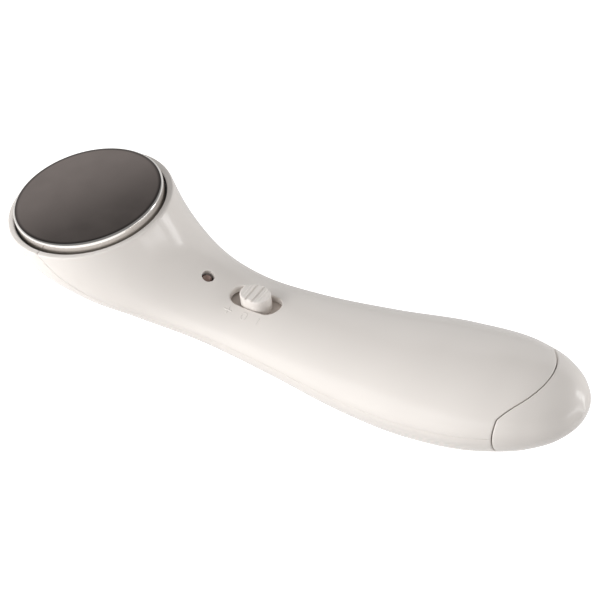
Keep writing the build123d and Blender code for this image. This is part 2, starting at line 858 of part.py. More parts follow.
with BuildPart() as switch_frame:
    with BuildSketch(board.offset(frame_lift)):
        Rectangle(switch_length, switch_depth)
    extrude(amount=switch_body_height - frame_lift)
    with BuildSketch(board.offset(frame_lift)):
        Rectangle(switch_length - 2 * frame_sheet, switch_depth - 2 * frame_sheet)
    extrude(amount=switch_body_height - frame_lift - frame_sheet, mode=Mode.SUBTRACT)
    with BuildSketch(board.offset(switch_body_height - 2 * frame_sheet)):
        Rectangle(
            stem_length + 2 * (switch_travel + stem_slot_clearance), stem_width + stem_slot_clearance
        )
    extrude(amount=3 * frame_sheet, mode=Mode.SUBTRACT)
save(switch_frame.part, "switch_frame")

with BuildPart() as switch_base:
    with BuildSketch(board):
        Rectangle(
            switch_length - 2 * (frame_sheet + base_clearance),
            switch_depth - 2 * (frame_sheet + base_clearance),
        )
    extrude(amount=base_thickness)
save(switch_base.part, "switch_base")

# Indicator lamp and its legs
lamp_top = -led_sink
lamp_base = lamp_top - led_length
with BuildPart() as indicator_lamp:
    with BuildSketch(indicator.offset(lamp_base)):
        Circle(led_dia / 2)
    extrude(amount=lamp_top - led_dia / 2 - lamp_base)
    with Locations(indicator.offset(lamp_top - led_dia / 2)):
        Sphere(led_dia / 2)
    with BuildSketch(indicator.offset(lamp_base)):
        Circle(led_dia / 2 + led_flange_width)
    extrude(amount=led_flange_height)
save(indicator_lamp.part, "indicator_lamp")
lamp_legs = trimmed(
    bar(indicator, leg_dia, -2 * board_depth, lamp_base, [(0, -leg_pitch / 2), (0, leg_pitch / 2)]),
    inside=[block(board, reach, reach, 0, reach)]
)
save(lamp_legs, "lamp_legs")

# Circuit board and what is soldered on it
with BuildPart() as circuit_board:
    with BuildSketch(board.offset(-board_thickness)):
        with Locations(board_centre):
            RectangleRounded(board_back - board_front, board_width, board_corner)
        with Locations(*board_screw_spots):
            Circle(board_screw_dia / 2 + board_hole_clearance, mode=Mode.SUBTRACT)
    extrude(amount=board_thickness)
save(circuit_board.part, "circuit_board")
save(screws(board, board_screw_spots, -board_thickness, board_head_height, board_head_dia,
            board_screw_dia, board_thickness + board_screw_bite), "board_screws")

with BuildPart() as driver_chip:
    with BuildSketch(board.offset(chip_lift)):
        with Locations(chip_spot):
            Rectangle(chip_size[0], chip_size[1])
    extrude(amount=chip_size[2])
    with BuildSketch(board):
        with Locations(chip_spot):
            with GridLocations(2 * chip_lead_reach, chip_lead_pitch, 2, chip_leads):
                Rectangle(chip_lead[0], chip_lead[1])
    extrude(amount=chip_lead[2])
save(driver_chip.part, "driver_chip")

with BuildPart() as capacitor:
    with BuildSketch(board):
        with Locations(capacitor_spot):
            Circle(capacitor_size[0] / 2)
    extrude(amount=capacitor_size[1])
    fillet(edges().filter_by(GeomType.CIRCLE), capacitor_edge)
save(capacitor.part, "capacitor")

with BuildPart() as drive_transistor:
    with BuildSketch(board):
        with Locations(transistor_spot):
            Rectangle(transistor_size[0], transistor_size[1])
    extrude(amount=transistor_size[2])
save(drive_transistor.part, "drive_transistor")

with BuildPart() as resistors:
    with BuildSketch(board):
        with Locations((board_front + front_resistors[0], front_resistors[1])):
            with GridLocations(*resistor_pitch, 2, 1):
                Rectangle(resistor_size[0], resistor_size[1])
        with Locations(rear_resistors):
            with GridLocations(*resistor_pitch, 2, 2):
                Rectangle(resistor_size[0], resistor_size[1])
    extrude(amount=resistor_size[2])
save(resistors.part, "resistors")

# Battery bay: tray with bulkhead, cells and contacts
cell_spacing = cell_dia + cell_gap
cell_spots = [(-cell_spacing / 2, 0), (cell_spacing / 2, 0)]
cell_body = cell_length - cell_nub_length
tray_floor_top = -cell_dia / 2 - tray_floor_gap
tray_width = cell_spacing + cell_dia
rib_step = (tray_length - rib_front - rib_thickness) / (tray_ribs - 1)
bulkhead_back = -bulkhead_gap
bulkhead_front = bulkhead_back - bulkhead_thickness
tab_spots = [(x, contact_tab_height) for x, y in cell_spots]
cell_bores = bar(bay, cell_dia + 2 * cell_side_clearance, -0.1, cell_length, cell_spots)
bulkhead = trimmed(
    block(bay, reach, reach, bulkhead_front, bulkhead_back), inside=[inner_form]
)
with BuildPart() as battery_tray:
    add(bulkhead)
    with BuildSketch(bay.offset(bulkhead_front)):
        with Locations(*tab_spots):
            Rectangle(tab_slot_width, tab_slot_height)
    extrude(amount=bulkhead_thickness, mode=Mode.SUBTRACT)
    with BuildSketch(bay.offset(bulkhead_back)):
        with Locations((0, tray_floor_top - tray_floor / 2)):
            Rectangle(tray_width, tray_floor)
    extrude(amount=tray_length)
    for step in range(tray_ribs):
        with BuildSketch(bay.offset(bulkhead_back + rib_front + step * rib_step)):
            with Locations((0, tray_floor_top + rib_height / 2 - contact_thickness / 2)):
                Rectangle(tray_width + 2 * rib_overhang, rib_height)
        extrude(amount=rib_thickness)
    add(cell_bores, mode=Mode.SUBTRACT)
    add(inner_form, mode=Mode.INTERSECT)
save(battery_tray.part, "battery_tray")


def cell(spot, nub_first):
    """One AAA cell: can with a rolled shoulder and a contact nub at one end."""
    start = 0 if nub_first else -cell_offset
    with BuildPart() as made:
        with BuildSketch(bay.offset(start)):
            with Locations(spot):
                Circle(cell_dia / 2)
        extrude(amount=cell_body)
        fillet(edges().filter_by(GeomType.CIRCLE), cell_edge)
        nub_at = start - cell_nub_length if nub_first else start + cell_body
        with BuildSketch(bay.offset(nub_at)):
            with Locations(spot):
                Circle(cell_nub_dia / 2)
        extrude(amount=cell_nub_length)
    return made.part


save(cell(cell_spots[0], True), "battery_a")
save(cell(cell_spots[1], False), "battery_b")


def contact(spot, spring):
    """Stamped contact on the bulkhead: plate, solder tab through the slot, and a leaf if sprung."""
    with BuildPart() as made:
        with BuildSketch(bay.offset(bulkhead_back)):
            with Locations(spot):
                RectangleRounded(contact_size, contact_size, contact_corner)
        extrude(amount=contact_thickness)
        with BuildSketch(bay.offset(bulkhead_front - contact_tab_reach)):
            with Locations((spot[0], contact_tab_height)):
                Rectangle(contact_tab_width, contact_thickness)
        extrude(amount=bulkhead_thickness + contact_tab_reach)
        if spring:
            with BuildSketch(bay.offset(bulkhead_back + contact_thickness)):
                with Locations(spot):
                    Circle(spring_ring[0])
                    Circle(spring_ring[1], mode=Mode.SUBTRACT)
            extrude(amount=spring_ring[2])
    return made.part


save(contact(cell_spots[0], False), "contact_plus")
save(contact(cell_spots[1], True), "contact_minus")

with BuildPart() as bridge_contact:
    with BuildSketch(bay.offset(cover_contact_at)):
        RectangleRounded(2 * (cell_dia - bridge_inset), bridge_size[0], bridge_size[1])
    extrude(amount=contact_thickness)
save(bridge_contact.part, "bridge_contact")


def on(plane, x, y, z):
    """World point of a place measured on a plane."""
    point = plane.from_local_coords((x, y, z))
    return (point.X, point.Y, point.Z)


# Wires: motor to board, contacts to board
motor_pad_at = board_front + motor_lead_pads[0]
motor_leads = (
    ("motor_lead_red", terminal_side, motor_lead_pads[1]),
    ("motor_lead_black", -terminal_side, motor_lead_pads[2]),
)
for name, side, pad in motor_leads:
    start = on(motor, side, 0, bell_back + terminal_length)
    out = on(motor, side, motor_lead_spread, bell_back + terminal_length + motor_lead_out)
    end = on(board, motor_pad_at, pad, 0)
    above = on(board, motor_pad_at, pad, motor_lead_drop)
    crest = (
        (out[0] + above[0]) / 2 + motor_lead_crest,
        (side + pad) / 2,
        (out[2] + above[2]) / 2 + motor_lead_crest,
    )
    save(lead([start, out, crest, above, end], wire_dia), name)

battery_pad_at = board_back - battery_lead_pads[0]
battery_leads = (
    ("battery_lead_red", tab_spots[0], -battery_lead_pads[1]),
    ("battery_lead_black", tab_spots[1], battery_lead_pads[1]),
)
for name, spot, pad in battery_leads:
    start = on(bay, *spot, bulkhead_front - contact_tab_reach)
    out = on(bay, *spot, bulkhead_front - contact_tab_reach - battery_lead_out)
    end = on(board, battery_pad_at, pad, 0)
    above = on(board, battery_pad_at, pad, battery_lead_drop)
    save(lead([start, out, above, end], wire_dia), name)
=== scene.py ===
"""Looks of a handheld cream applicator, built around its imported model.

Lengths are in millimetres until they go into a mesh, and the meshes are in metres.
+X runs from the treatment head to the tail, +Z is up, and the table is z = 0.
"""

import json
import math

import bmesh
import bpy
import numpy as np
from mathutils import Matrix, Quaternion, Vector


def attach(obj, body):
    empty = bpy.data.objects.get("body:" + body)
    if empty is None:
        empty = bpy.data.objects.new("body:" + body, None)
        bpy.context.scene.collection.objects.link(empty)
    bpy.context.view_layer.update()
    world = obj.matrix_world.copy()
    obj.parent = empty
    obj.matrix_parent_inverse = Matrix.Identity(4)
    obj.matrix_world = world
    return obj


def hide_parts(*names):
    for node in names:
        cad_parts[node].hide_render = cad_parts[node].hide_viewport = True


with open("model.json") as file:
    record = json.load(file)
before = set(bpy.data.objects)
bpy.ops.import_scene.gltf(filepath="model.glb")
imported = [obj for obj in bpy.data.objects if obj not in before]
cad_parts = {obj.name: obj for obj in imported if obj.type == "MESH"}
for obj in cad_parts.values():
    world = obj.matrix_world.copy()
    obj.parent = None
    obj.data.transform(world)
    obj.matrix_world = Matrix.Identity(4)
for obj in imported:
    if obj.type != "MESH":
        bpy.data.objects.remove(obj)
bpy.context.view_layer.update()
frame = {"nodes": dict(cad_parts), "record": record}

bl_info = {
    "name": "Cream applicator",
    "version": (1, 0, 0),
    "blender": (4, 5, 0),
    "location": "View3D > Sidebar > Applicator",
    "description": (
        "Builds the housing, plate, switch and lamp of a cream applicator over its CAD model"
    ),
    "category": "Object",
}

MM = 0.001

# Housing profile, as in the CAD source
plate_stand = 3.0
plate_radius = 22.0
plate_gap = 0.45
lip_width = 1.9
lip_round = 0.45
recess_depth = 4.0
neck_height = 16.7
neck_width = 27.8
belly_flat = 0.5
swell_height = 31.1
swell_width = 41.6
swell_belly = 3.7
shoulder_height = 36.8
shoulder_width = 38.2
shoulder_belly = 11.0
tail_tip_height = 30.4

# Seam between the housing and the battery cover
seam_from_tail = 18.8
seam_corner = 15.5
seam_slope = math.radians(36.5)
seam_tip_radius = 17.5
seam_corner_radius = 0.8
seam_gap = 0.25
parting_gap = 0.1
spigot_reach = 4.5
spigot_root = 4.0
spigot_clearance = 0.15
spigot_wall = 1.3

# Switch slot and lamp hole
switch_from_plate = 56.6
switch_height = 16.9
switch_tilt = math.radians(5.5)
slot_length = 16.0
slot_width = 7.6
knob_length = 9.2
knob_width = 7.1
knob_height = 2.7
knob_edge = 0.5
rib_width = 1.4
rib_height = 0.2
groove_width = 0.6
groove_depth = 0.25
groove_soft = 0.2
fine_lines = (2.15, 3.0)
fine_width = 0.2
fine_depth = 0.1
shutter_depth = 2.45
knob_points = (181, 41)
knob_crowding = 0.35
lamp_from_plate = 40.6
lamp_height = 17.95
lamp_tilt = math.radians(-17.0)
lamp_dia = 3.0
lamp_hole_clearance = 0.35
lamp_sink = 0.55
lamp_length = 5.2

# Post in the battery cover that carries the bridge contact
bay_from_tail = 63.1
bay_height = 15.3
bay_tilt = math.radians(14.0)
post_start = 45.0
post_end = 59.5
post_size = (14.0, 5.0)
post_corner = 1.0

# Grid: first points of the parting line from the lip's middle, angles between which it lies, extra
# columns at the seam's corner, and the window round an opening along it and across
parting_start = [(-1.8, -0.4), (3.6, -6.4)]
parting_low, parting_high = -0.9, 0.7
corner_reach, corner_columns, least_apart = 0.016, 13, 0.0018
window_margin = (2.2, 1.6)

# Places between which the wall's inside meets the ledge, and distances in metres at which points
# merge and edges vanish
ledge_low, ledge_high = 0.02, 1.9
merge_distance, least_edge = 2e-6, 1e-7

# Plate's finish: share of the edge that the painted highlight covers, and inset and soft width of
# the painted dark reflection line just inside the edge
highlight_share = 0.35
dark_line_inset, dark_line_soft = 0.5, 0.25

# Lamp: how far its flange stands out, the flange's height, and the straight part under the dome
flange_reach, flange_height, lamp_neck = 0.4, 1.0, 0.4

# Raised marks beside the switch: distance from the plate and across it, and how far each reaches
mark_height = 0.13
mark_width = 0.5
mark_sink = 0.03
mark_foot = 0.12
mark_end_steps = 2.4
plus_mark, plus_reach = (51.2, -6.45), 1.35
zero_mark, zero_reach = (56.5, -6.5), (0.8, 1.1)
minus_mark, minus_reach = (61.2, -6.6), 1.2

# Camera: the point it looks at, from the head and over the table, and its shift in widths
camera_aim = (78.06, 17.97)
camera_shift = (-20.59 / 600, 26.36 / 600)

# Studio: edge of the ceiling in degrees, lean of the even light, glow of the floor to the camera,
# and to mirrors on the near and the far side, which meet between two places across it
ceiling_edge = (23.5, 26.4)
sky_lean = (0.18, 0.27, 0.74)
floor_half, floor_level = 2.0, -0.00005
floor_tints = ((0.67, 0.66, 0.65), (0.7, 0.69, 0.68))
floor_glow, near_glow, far_glow = 0.82, 0.75, 0.2
glow_from, glow_to = -0.06, 0.04

# Lights: angle round the object and over the table, size and distance in metres, turn, and whether
# glossy surfaces show them. They look at a point of this height in metres over the table.
light_aim = 0.015
lights = {
    "key": (-128.0, 18.0, (0.75, 0.26), 0.5, 0.0, False),
    "fill": (42.0, 15.0, (0.6, 0.4), 0.8, 0.0, False),
    "glint": (47.0, 11.0, (0.14, 0.36), 0.8, 0.0, True),
    "strip": (15.0, 14.5, (0.5, 0.05), 0.8, -2.0, True),
}

# Places worked out from the frame
face = next(mount for mount in frame["record"]["mounts"] if mount["name"] == "treatment_face")
head_centre = np.array(face["pos_m"], float) / MM
head_up = np.array(face["axis"], float)
head_along = np.array([head_up[2], 0.0, -head_up[0]])
across = np.array([0.0, 1.0, 0.0])
head_x = head_centre[0]
lip_radius = plate_radius + plate_gap + lip_width
recess_radius = plate_radius + plate_gap
lip_centre = head_centre - plate_stand * head_up
lip_x, lip_z = lip_centre[0], lip_centre[2]
tail_x = lip_radius * head_up[2] + plate_stand * head_up[0] - head_x
top_x, top_z = (lip_centre + lip_radius * head_along)[[0, 2]]
nose_x, nose_z = (lip_centre - lip_radius * head_along)[[0, 2]]
neck_x = head_x + 54.4
grip_x = head_x + 71.0
swell_x = tail_x - 45.4
palm_x = (grip_x + swell_x) / 2

# Stations from the lip to the tail: top x and z, bottom x and z, half width, share of the height
# above the widest line
stations = np.array([
    [top_x, top_z, nose_x, nose_z, lip_radius, 0.50],
    [top_x + 5.2, top_z - 6.8, nose_x + 4.9, nose_z - 10.0, lip_radius - 1.55, 0.49],
    [top_x + 11.5, neck_height + 3.5, nose_x + 18.9, 3.2 - belly_flat, lip_radius - 4.6, 0.46],
    [neck_x - 11.1, neck_height + 0.6, neck_x - 38.3, 0.5 - belly_flat, neck_width / 2 + 2.2, 0.43],
    [neck_x, neck_height, neck_x - 13.9, 0.15 - belly_flat, neck_width / 2, 0.42],
    [grip_x, neck_height + 2.4, grip_x - 4.5, -belly_flat, neck_width / 2 + 1.1, 0.42],
    [palm_x - 0.6, neck_height + 7.4, palm_x - 1.4, 0.4 - belly_flat,
     (neck_width + swell_width) / 4 + 0.9, 0.42],
    [swell_x, swell_height, swell_x - 0.4, swell_belly, swell_width / 2, 0.43],
    [tail_x - 23.0, shoulder_height, tail_x - 22.3, shoulder_belly, shoulder_width / 2, 0.45],
    [tail_x - 12.9, shoulder_height + 1.1, tail_x - 11.0, shoulder_belly + 5.5,
     shoulder_width * 0.4, 0.47],
    [tail_x - 5.5, tail_tip_height + 6.0, tail_x - 3.8, tail_tip_height - 8.2, 10.1, 0.48],
    [tail_x - 2.1, tail_tip_height + 3.4, tail_x - 0.7, tail_tip_height - 3.6, 5.6, 0.49],
    [tail_x - 0.1, tail_tip_height + 1.1, tail_x - 0.03, tail_tip_height - 1.0, 1.5, 0.50],
])
throat_row, dome_row, dome_end_row, last_row = 2, 9, 10, len(stations) - 1


# Settings that a user would change

class HousingSettings(bpy.types.PropertyGroup):
    """Sizes and colour of the moulded housing."""

    wall: bpy.props.FloatProperty(
        name="Wall", description="Thickness of the moulded wall in mm", default=2.2, min=1.0,
        max=4.0,
    )
    parting_round: bpy.props.FloatProperty(
        name="Parting edge", description="Edge radius along the parting line in mm",
        default=0.14, min=0.02, max=0.6,
    )
    seam_round: bpy.props.FloatProperty(
        name="Seam edge", description="Edge radius of the housing at the cover seam in mm",
        default=0.28, min=0.02, max=1.0,
    )
    cover_round: bpy.props.FloatProperty(
        name="Cover edge", description="Edge radius of the battery cover at its seam in mm",
        default=0.42, min=0.02, max=1.0,
    )
    slot_round: bpy.props.FloatProperty(
        name="Slot edge", description="Edge radius of the switch slot in mm",
        default=0.4, min=0.02, max=1.0,
    )
    lamp_round: bpy.props.FloatProperty(
        name="Lamp hole edge", description="Edge radius of the lamp hole in mm",
        default=0.3, min=0.02, max=1.0,
    )
    colour: bpy.props.FloatVectorProperty(
        name="Colour", description="Colour of the moulded plastic", subtype="COLOR",
        size=3, default=(0.79, 0.745, 0.705), min=0.0, max=1.0,
    )
    rows: bpy.props.IntProperty(
        name="Rows", description="Grid rows from the lip to the seam", default=200, min=60, max=400
    )
    columns: bpy.props.IntProperty(
        name="Columns", description="Grid columns round half of the housing", default=96, min=40,
        max=240,
    )


class PlateSettings(bpy.types.PropertyGroup):
    """Finish of the treatment plate."""

    edge_radius: bpy.props.FloatProperty(
        name="Edge radius", description="Rounding of the plate's edge in mm", default=0.65, min=0.3,
        max=2.0,
    )
    crown: bpy.props.FloatProperty(
        name="Crown", description="Height of the face's middle over its edge in mm", default=0.2,
        min=0.0, max=1.0,
    )
    skirt: bpy.props.FloatProperty(
        name="Skirt", description="Height of the plate's side in mm", default=4.8, min=2.0, max=6.0
    )
    thickness: bpy.props.FloatProperty(
        name="Sheet", description="Thickness of the drawn sheet in mm", default=1.0, min=0.3,
        max=2.0,
    )
    face_colour: bpy.props.FloatVectorProperty(
        name="Face", description="Colour of the dark polished face", subtype="COLOR",
        size=3, default=(0.222, 0.19, 0.177), min=0.0, max=1.0,
    )
    # Painted highlight: light colour given to the rounded edge in place of the reflection it shows
    edge_highlight_colour: bpy.props.FloatVectorProperty(
        name="Edge", description="Colour of the bright edge", subtype="COLOR",
        size=3, default=(0.86, 0.83, 0.8), min=0.0, max=1.0,
    )


class StageSettings(bpy.types.PropertyGroup):
    """Camera and light of the studio."""

    azimuth: bpy.props.FloatProperty(
        name="Azimuth", description="Camera direction round the object", subtype="ANGLE",
        default=math.radians(32.99),
    )
    elevation: bpy.props.FloatProperty(
        name="Elevation", description="Camera height over the table", subtype="ANGLE",
        default=math.radians(46.85),
    )
    roll: bpy.props.FloatProperty(
        name="Roll", description="Turn of the camera about its own axis", subtype="ANGLE",
        default=math.radians(-1.11),
    )
    distance: bpy.props.FloatProperty(
        name="Distance", description="Camera distance", subtype="DISTANCE", unit="LENGTH",
        default=1.249, min=0.2,
    )
    lens: bpy.props.FloatProperty(
        name="Lens", description="Focal length in mm on a 36 mm sensor", default=268.3, min=20.0
    )
    sky: bpy.props.FloatProperty(
        name="Sky", description="Strength of the even light, more from above", default=0.37, min=0.0
    )
    ceiling: bpy.props.FloatProperty(
        name="Ceiling", description="Brightness of the ceiling that glossy surfaces show",
        default=0.3, min=0.0,
    )
    key: bpy.props.FloatProperty(
        name="Key", description="Power of the wide light on the near side", subtype="POWER",
        default=3.05, min=0.0,
    )
    fill: bpy.props.FloatProperty(
        name="Fill", description="Power of the wide light beyond the tail", subtype="POWER",
        default=1.9, min=0.0,
    )
    glint: bpy.props.FloatProperty(
        name="Glint", description="Power of the upright light that the tail mirrors",
        subtype="POWER", default=0.6, min=0.0,
    )
    strip: bpy.props.FloatProperty(
        name="Strip", description="Power of the low narrow light that draws the streak on the neck",
        subtype="POWER", default=0.32, min=0.0,
    )


# Surfaces

def slopes(chord, gap):
    """Slope of a curve at each of its points, from its chords and their lengths.

    Slope = mean of the slopes on both sides, each weighted by the length of the other, so that the
    curve neither overshoots nor kinks.
    """
    inner = (chord[:-1] * gap[1:] + chord[1:] * gap[:-1]) / (gap[:-1] + gap[1:])
    return np.vstack([chord[:1], inner, chord[-1:]])


def cubic(p, q, m, n, g, u):
    """Cubic between two values: p (1+2u)(1-u)^2 + q u^2 (3-2u) + g m u (1-u)^2 - g n u^2 (1-u).

    p and q are the values at its ends, m and n the slopes, g the length and u the share of it.
    """
    return (
        p * (1 + 2 * u) * (1 - u) ** 2 + q * u * u * (3 - 2 * u)
        + g * m * u * (1 - u) ** 2 - g * n * u * u * (1 - u)
    )


# Length between two stations = mean of the top and the bottom chord
station_step = np.diff(stations, axis=0)
station_gap = np.hypot(station_step[:, 0], station_step[:, 1])[:, None]
station_gap = (station_gap + np.hypot(station_step[:, 2], station_step[:, 3])[:, None]) / 2
station_slope = slopes(station_step / station_gap, station_gap)
station_length = np.concatenate([[0.0], np.cumsum(station_gap)])
station_place = np.arange(last_row + 1)


def section(place):
    """The six numbers of the housing's section at each place, 0 at the lip, 12 at the tip."""
    index = np.clip(np.floor(place).astype(int), 0, last_row - 1)
    return cubic(
        stations[index], stations[index + 1], station_slope[index], station_slope[index + 1],
        station_gap[index], (place - index)[..., None],
    )


def skin(place, angle):
    """Point of the housing's outside at a place along it and an angle round it.

    The section is made of quarter ellipses about its widest line: half width times the cosine
    across, upper or lower height times the sine along the line from bottom to top. Angle 0 is
    the +Y side and a quarter turn is the top. The belly is cut flat at the table.
    """
    place, angle = np.broadcast_arrays(np.asarray(place, float), np.asarray(angle, float))
    row = section(place)
    up_x, up_z = row[..., 0] - row[..., 2], row[..., 1] - row[..., 3]
    share, sine = row[..., 5], np.sin(angle)
    height = np.where(sine >= 0, share, 1 - share) * sine - share
    x = row[..., 0] + up_x * height
    z = row[..., 1] + up_z * height
    y = row[..., 4] * np.cos(angle)
    return np.stack([x, y, np.maximum(z, 0.0)], axis=-1)


def unit(vector):
    """Vectors of length one."""
    return vector / np.maximum(np.linalg.norm(vector, axis=-1, keepdims=True), 1e-12)


def skin_frame(place, angle, step=1e-4):
    """Derivatives along and round the skin, and the normal pointing out of it."""
    along = (skin(place + step, angle) - skin(place - step, angle)) / (2 * step)
    around = (skin(place, angle + step) - skin(place, angle - step)) / (2 * step)
    return along, around, unit(np.cross(around, along))


def speed_across(place, angle, run):
    """Length of skin per place, square to an edge that runs along the given vectors."""
    return np.linalg.norm(np.cross(unit(run), skin_frame(place, angle)[0]), axis=-1)


def below(place, angle, depth):
    """Points at a depth under the skin."""
    return skin(place, angle) - depth * skin_frame(place, angle)[2]


def curve_through(points, samples=40):
    """Points on a smooth curve through the given ones."""
    step = np.diff(points, axis=0)
    gap = np.linalg.norm(step, axis=1)[:, None]
    slope = slopes(step / gap, gap)[:, None]
    ends = points[:, None]
    u = np.linspace(0, 1, samples, endpoint=False)[None, :, None]
    curve = cubic(ends[:-1], ends[1:], slope[:-1], slope[1:], gap[:, None], u)
    return np.vstack([curve.reshape(-1, points.shape[1]), points[-1:]])


def parting_height():
    """Side view of the parting line: x and z, straight up at its start on the lip."""
    widest = stations[throat_row:dome_row + 1]
    x = widest[:, 0] + (widest[:, 2] - widest[:, 0]) * widest[:, 5]
    z = widest[:, 1] + (widest[:, 3] - widest[:, 1]) * widest[:, 5]
    start = [(lip_x + dx, lip_z + dz) for dx, dz in parting_start]
    curve = curve_through(np.array(start + list(zip(x, z))))
    above = [[curve[0, 0] - 0.001, lip_z + lip_radius]]
    return np.vstack([above, curve])


parting = parting_height()


def over_parting(points, gap):
    """Height of points over the parting line, lowered and moved forward by the gap."""
    line = np.interp(points[..., 0] + gap, parting[:, 0], parting[:, 1]) - gap
    return points[..., 2] - line


def solve(test, low, high, steps=44):
    """Where a rising test crosses zero, by halving the interval in each column."""
    low, high = np.array(low, float), np.array(high, float)
    for _ in range(steps):
        middle = (low + high) / 2
        past = test(middle) > 0
        high = np.where(past, middle, high)
        low = np.where(past, low, middle)
    return (low + high) / 2


def seam_line(y):
    """Plan view of the seam: x behind the flank's line at each y.

    Straight on the flanks, then slanted to a tongue whose tip is an arc.
    """
    side = np.abs(y)
    slope = math.tan(seam_slope)
    tip_side = seam_tip_radius * math.sin(seam_slope)
    lead_in = seam_corner_radius * math.tan(seam_slope / 2)
    slanted = (seam_corner - side) * slope
    tip = (
        (seam_corner - tip_side) * slope - seam_tip_radius * math.cos(seam_slope)
        + np.sqrt(np.maximum(seam_tip_radius ** 2 - side ** 2, 0))
    )
    into = np.clip(seam_corner + lead_in - side, 0, seam_corner_radius * math.sin(seam_slope))
    corner = seam_corner_radius - np.sqrt(seam_corner_radius ** 2 - into ** 2)
    x = np.where(side < tip_side, tip, slanted)
    near_corner = side > seam_corner + lead_in - seam_corner_radius * math.sin(seam_slope)
    return np.where(near_corner, corner, x)


def rim_steps(radius, count=6):
    """Distances from an edge and depths below the surface on a quarter circle that rounds it."""
    turn = np.linspace(0, np.pi / 2, count)
    return radius * (1 - np.cos(turn)), radius * (1 - np.sin(turn))


class Weave:
    """Points and faces of one mesh while it is put together."""

    def __init__(self):
        self.points, self.faces, self.count = [], [], 0

    def add(self, points):
        """Adds a grid of points and returns their numbers in the same grid."""
        index = np.arange(self.count, self.count + points[..., 0].size).reshape(points.shape[:-1])
        self.points.append(points.reshape(-1, 3))
        self.count += index.size
        return index

    def cover(self, index, keep=None, closed=False):
        """Faces between neighbouring rows and columns of a grid of numbers."""
        if closed:
            index = np.concatenate([index, index[:, :1]], axis=1)
        quads = np.stack([index[:-1, :-1], index[:-1, 1:], index[1:, 1:], index[1:, :-1]], axis=-1)
        self.faces += (quads if keep is None else quads[keep]).reshape(-1, 4).tolist()

    def tube(self, points):
        """Adds a grid of points that is closed round, with its faces."""
        self.cover(self.add(points), closed=True)

    def join(self, first, second, closed=False):
        """Faces between two rows of numbers."""
        self.cover(np.stack([first, second]), closed=closed)

    def close(self, ring):
        """One face over a ring of numbers."""
        self.faces.append(list(ring))

    def mesh(self, name, smooth):
        """Mesh in metres with doubles merged, faces pointing out and crisp edges kept."""
        data = bpy.data.meshes.new(name)
        points = np.concatenate(self.points) * MM
        data.from_pydata(points.tolist(), [], self.faces)
        work = bmesh.new()
        work.from_mesh(data)
        bmesh.ops.remove_doubles(work, verts=work.verts, dist=merge_distance)
        bmesh.ops.dissolve_degenerate(work, edges=work.edges, dist=least_edge)
        bmesh.ops.recalc_face_normals(work, faces=work.faces)
        work.to_mesh(data)
        work.free()
        data.shade_smooth()
        data.set_sharp_from_angle(angle=math.radians(smooth))
        return data


def piece(name, weave, body, slot, material, *nodes, smooth=35.0):
    """Object from a weave that rides on a body and stands for CAD nodes."""
    made = bpy.data.objects.new(name, weave.mesh(name, smooth))
    bpy.context.scene.collection.objects.link(made)
    made.data.materials.append(material)
    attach(made, body)
    if nodes:
        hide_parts(*nodes)
    return made


def ring(radius, height, angle):
    """Point of a circle about the head's axis, at a height over the plate's face."""
    radius, height, angle = np.broadcast_arrays(radius, height, angle)
    side = radius * np.cos(angle)
    along = radius * np.sin(angle)
    return (
        head_centre + side[..., None] * across + along[..., None] * head_along
        + height[..., None] * head_up
    )


def closing(rim, shares):
    """Smaller copies of a ring of points about its middle."""
    middle = rim.mean(axis=0)
    return middle + (rim - middle) * np.array(shares)[:, None, None]


def rounded(start, corner, end, steps=6):
    """Arc from start to end that leaves towards the corner: a rational quadratic curve."""
    u = np.linspace(0, 1, steps)
    weight = math.cos(math.pi / 4) * 2 * u * (1 - u)
    total = (1 - u) ** 2 + weight + u ** 2
    shape = (slice(None),) + (None,) * start.ndim
    return (
        start[None] * ((1 - u) ** 2 / total)[shape] + corner[None] * (weight / total)[shape]
        + end[None] * (u ** 2 / total)[shape]
    )


class Plane:
    """A tilted plane over the object's middle line."""

    def __init__(self, x, height, tilt):
        self.origin = np.array([x, 0.0, height])
        self.along = np.array([math.cos(tilt), 0.0, math.sin(tilt)])
        self.up = np.array([-math.sin(tilt), 0.0, math.cos(tilt)])

    def raised(self, spots, height):
        """Points at a height over spots of the plane."""
        return (
            self.origin + spots[..., :1] * self.along + spots[..., 1:] * across
            + height[..., None] * self.up
        )


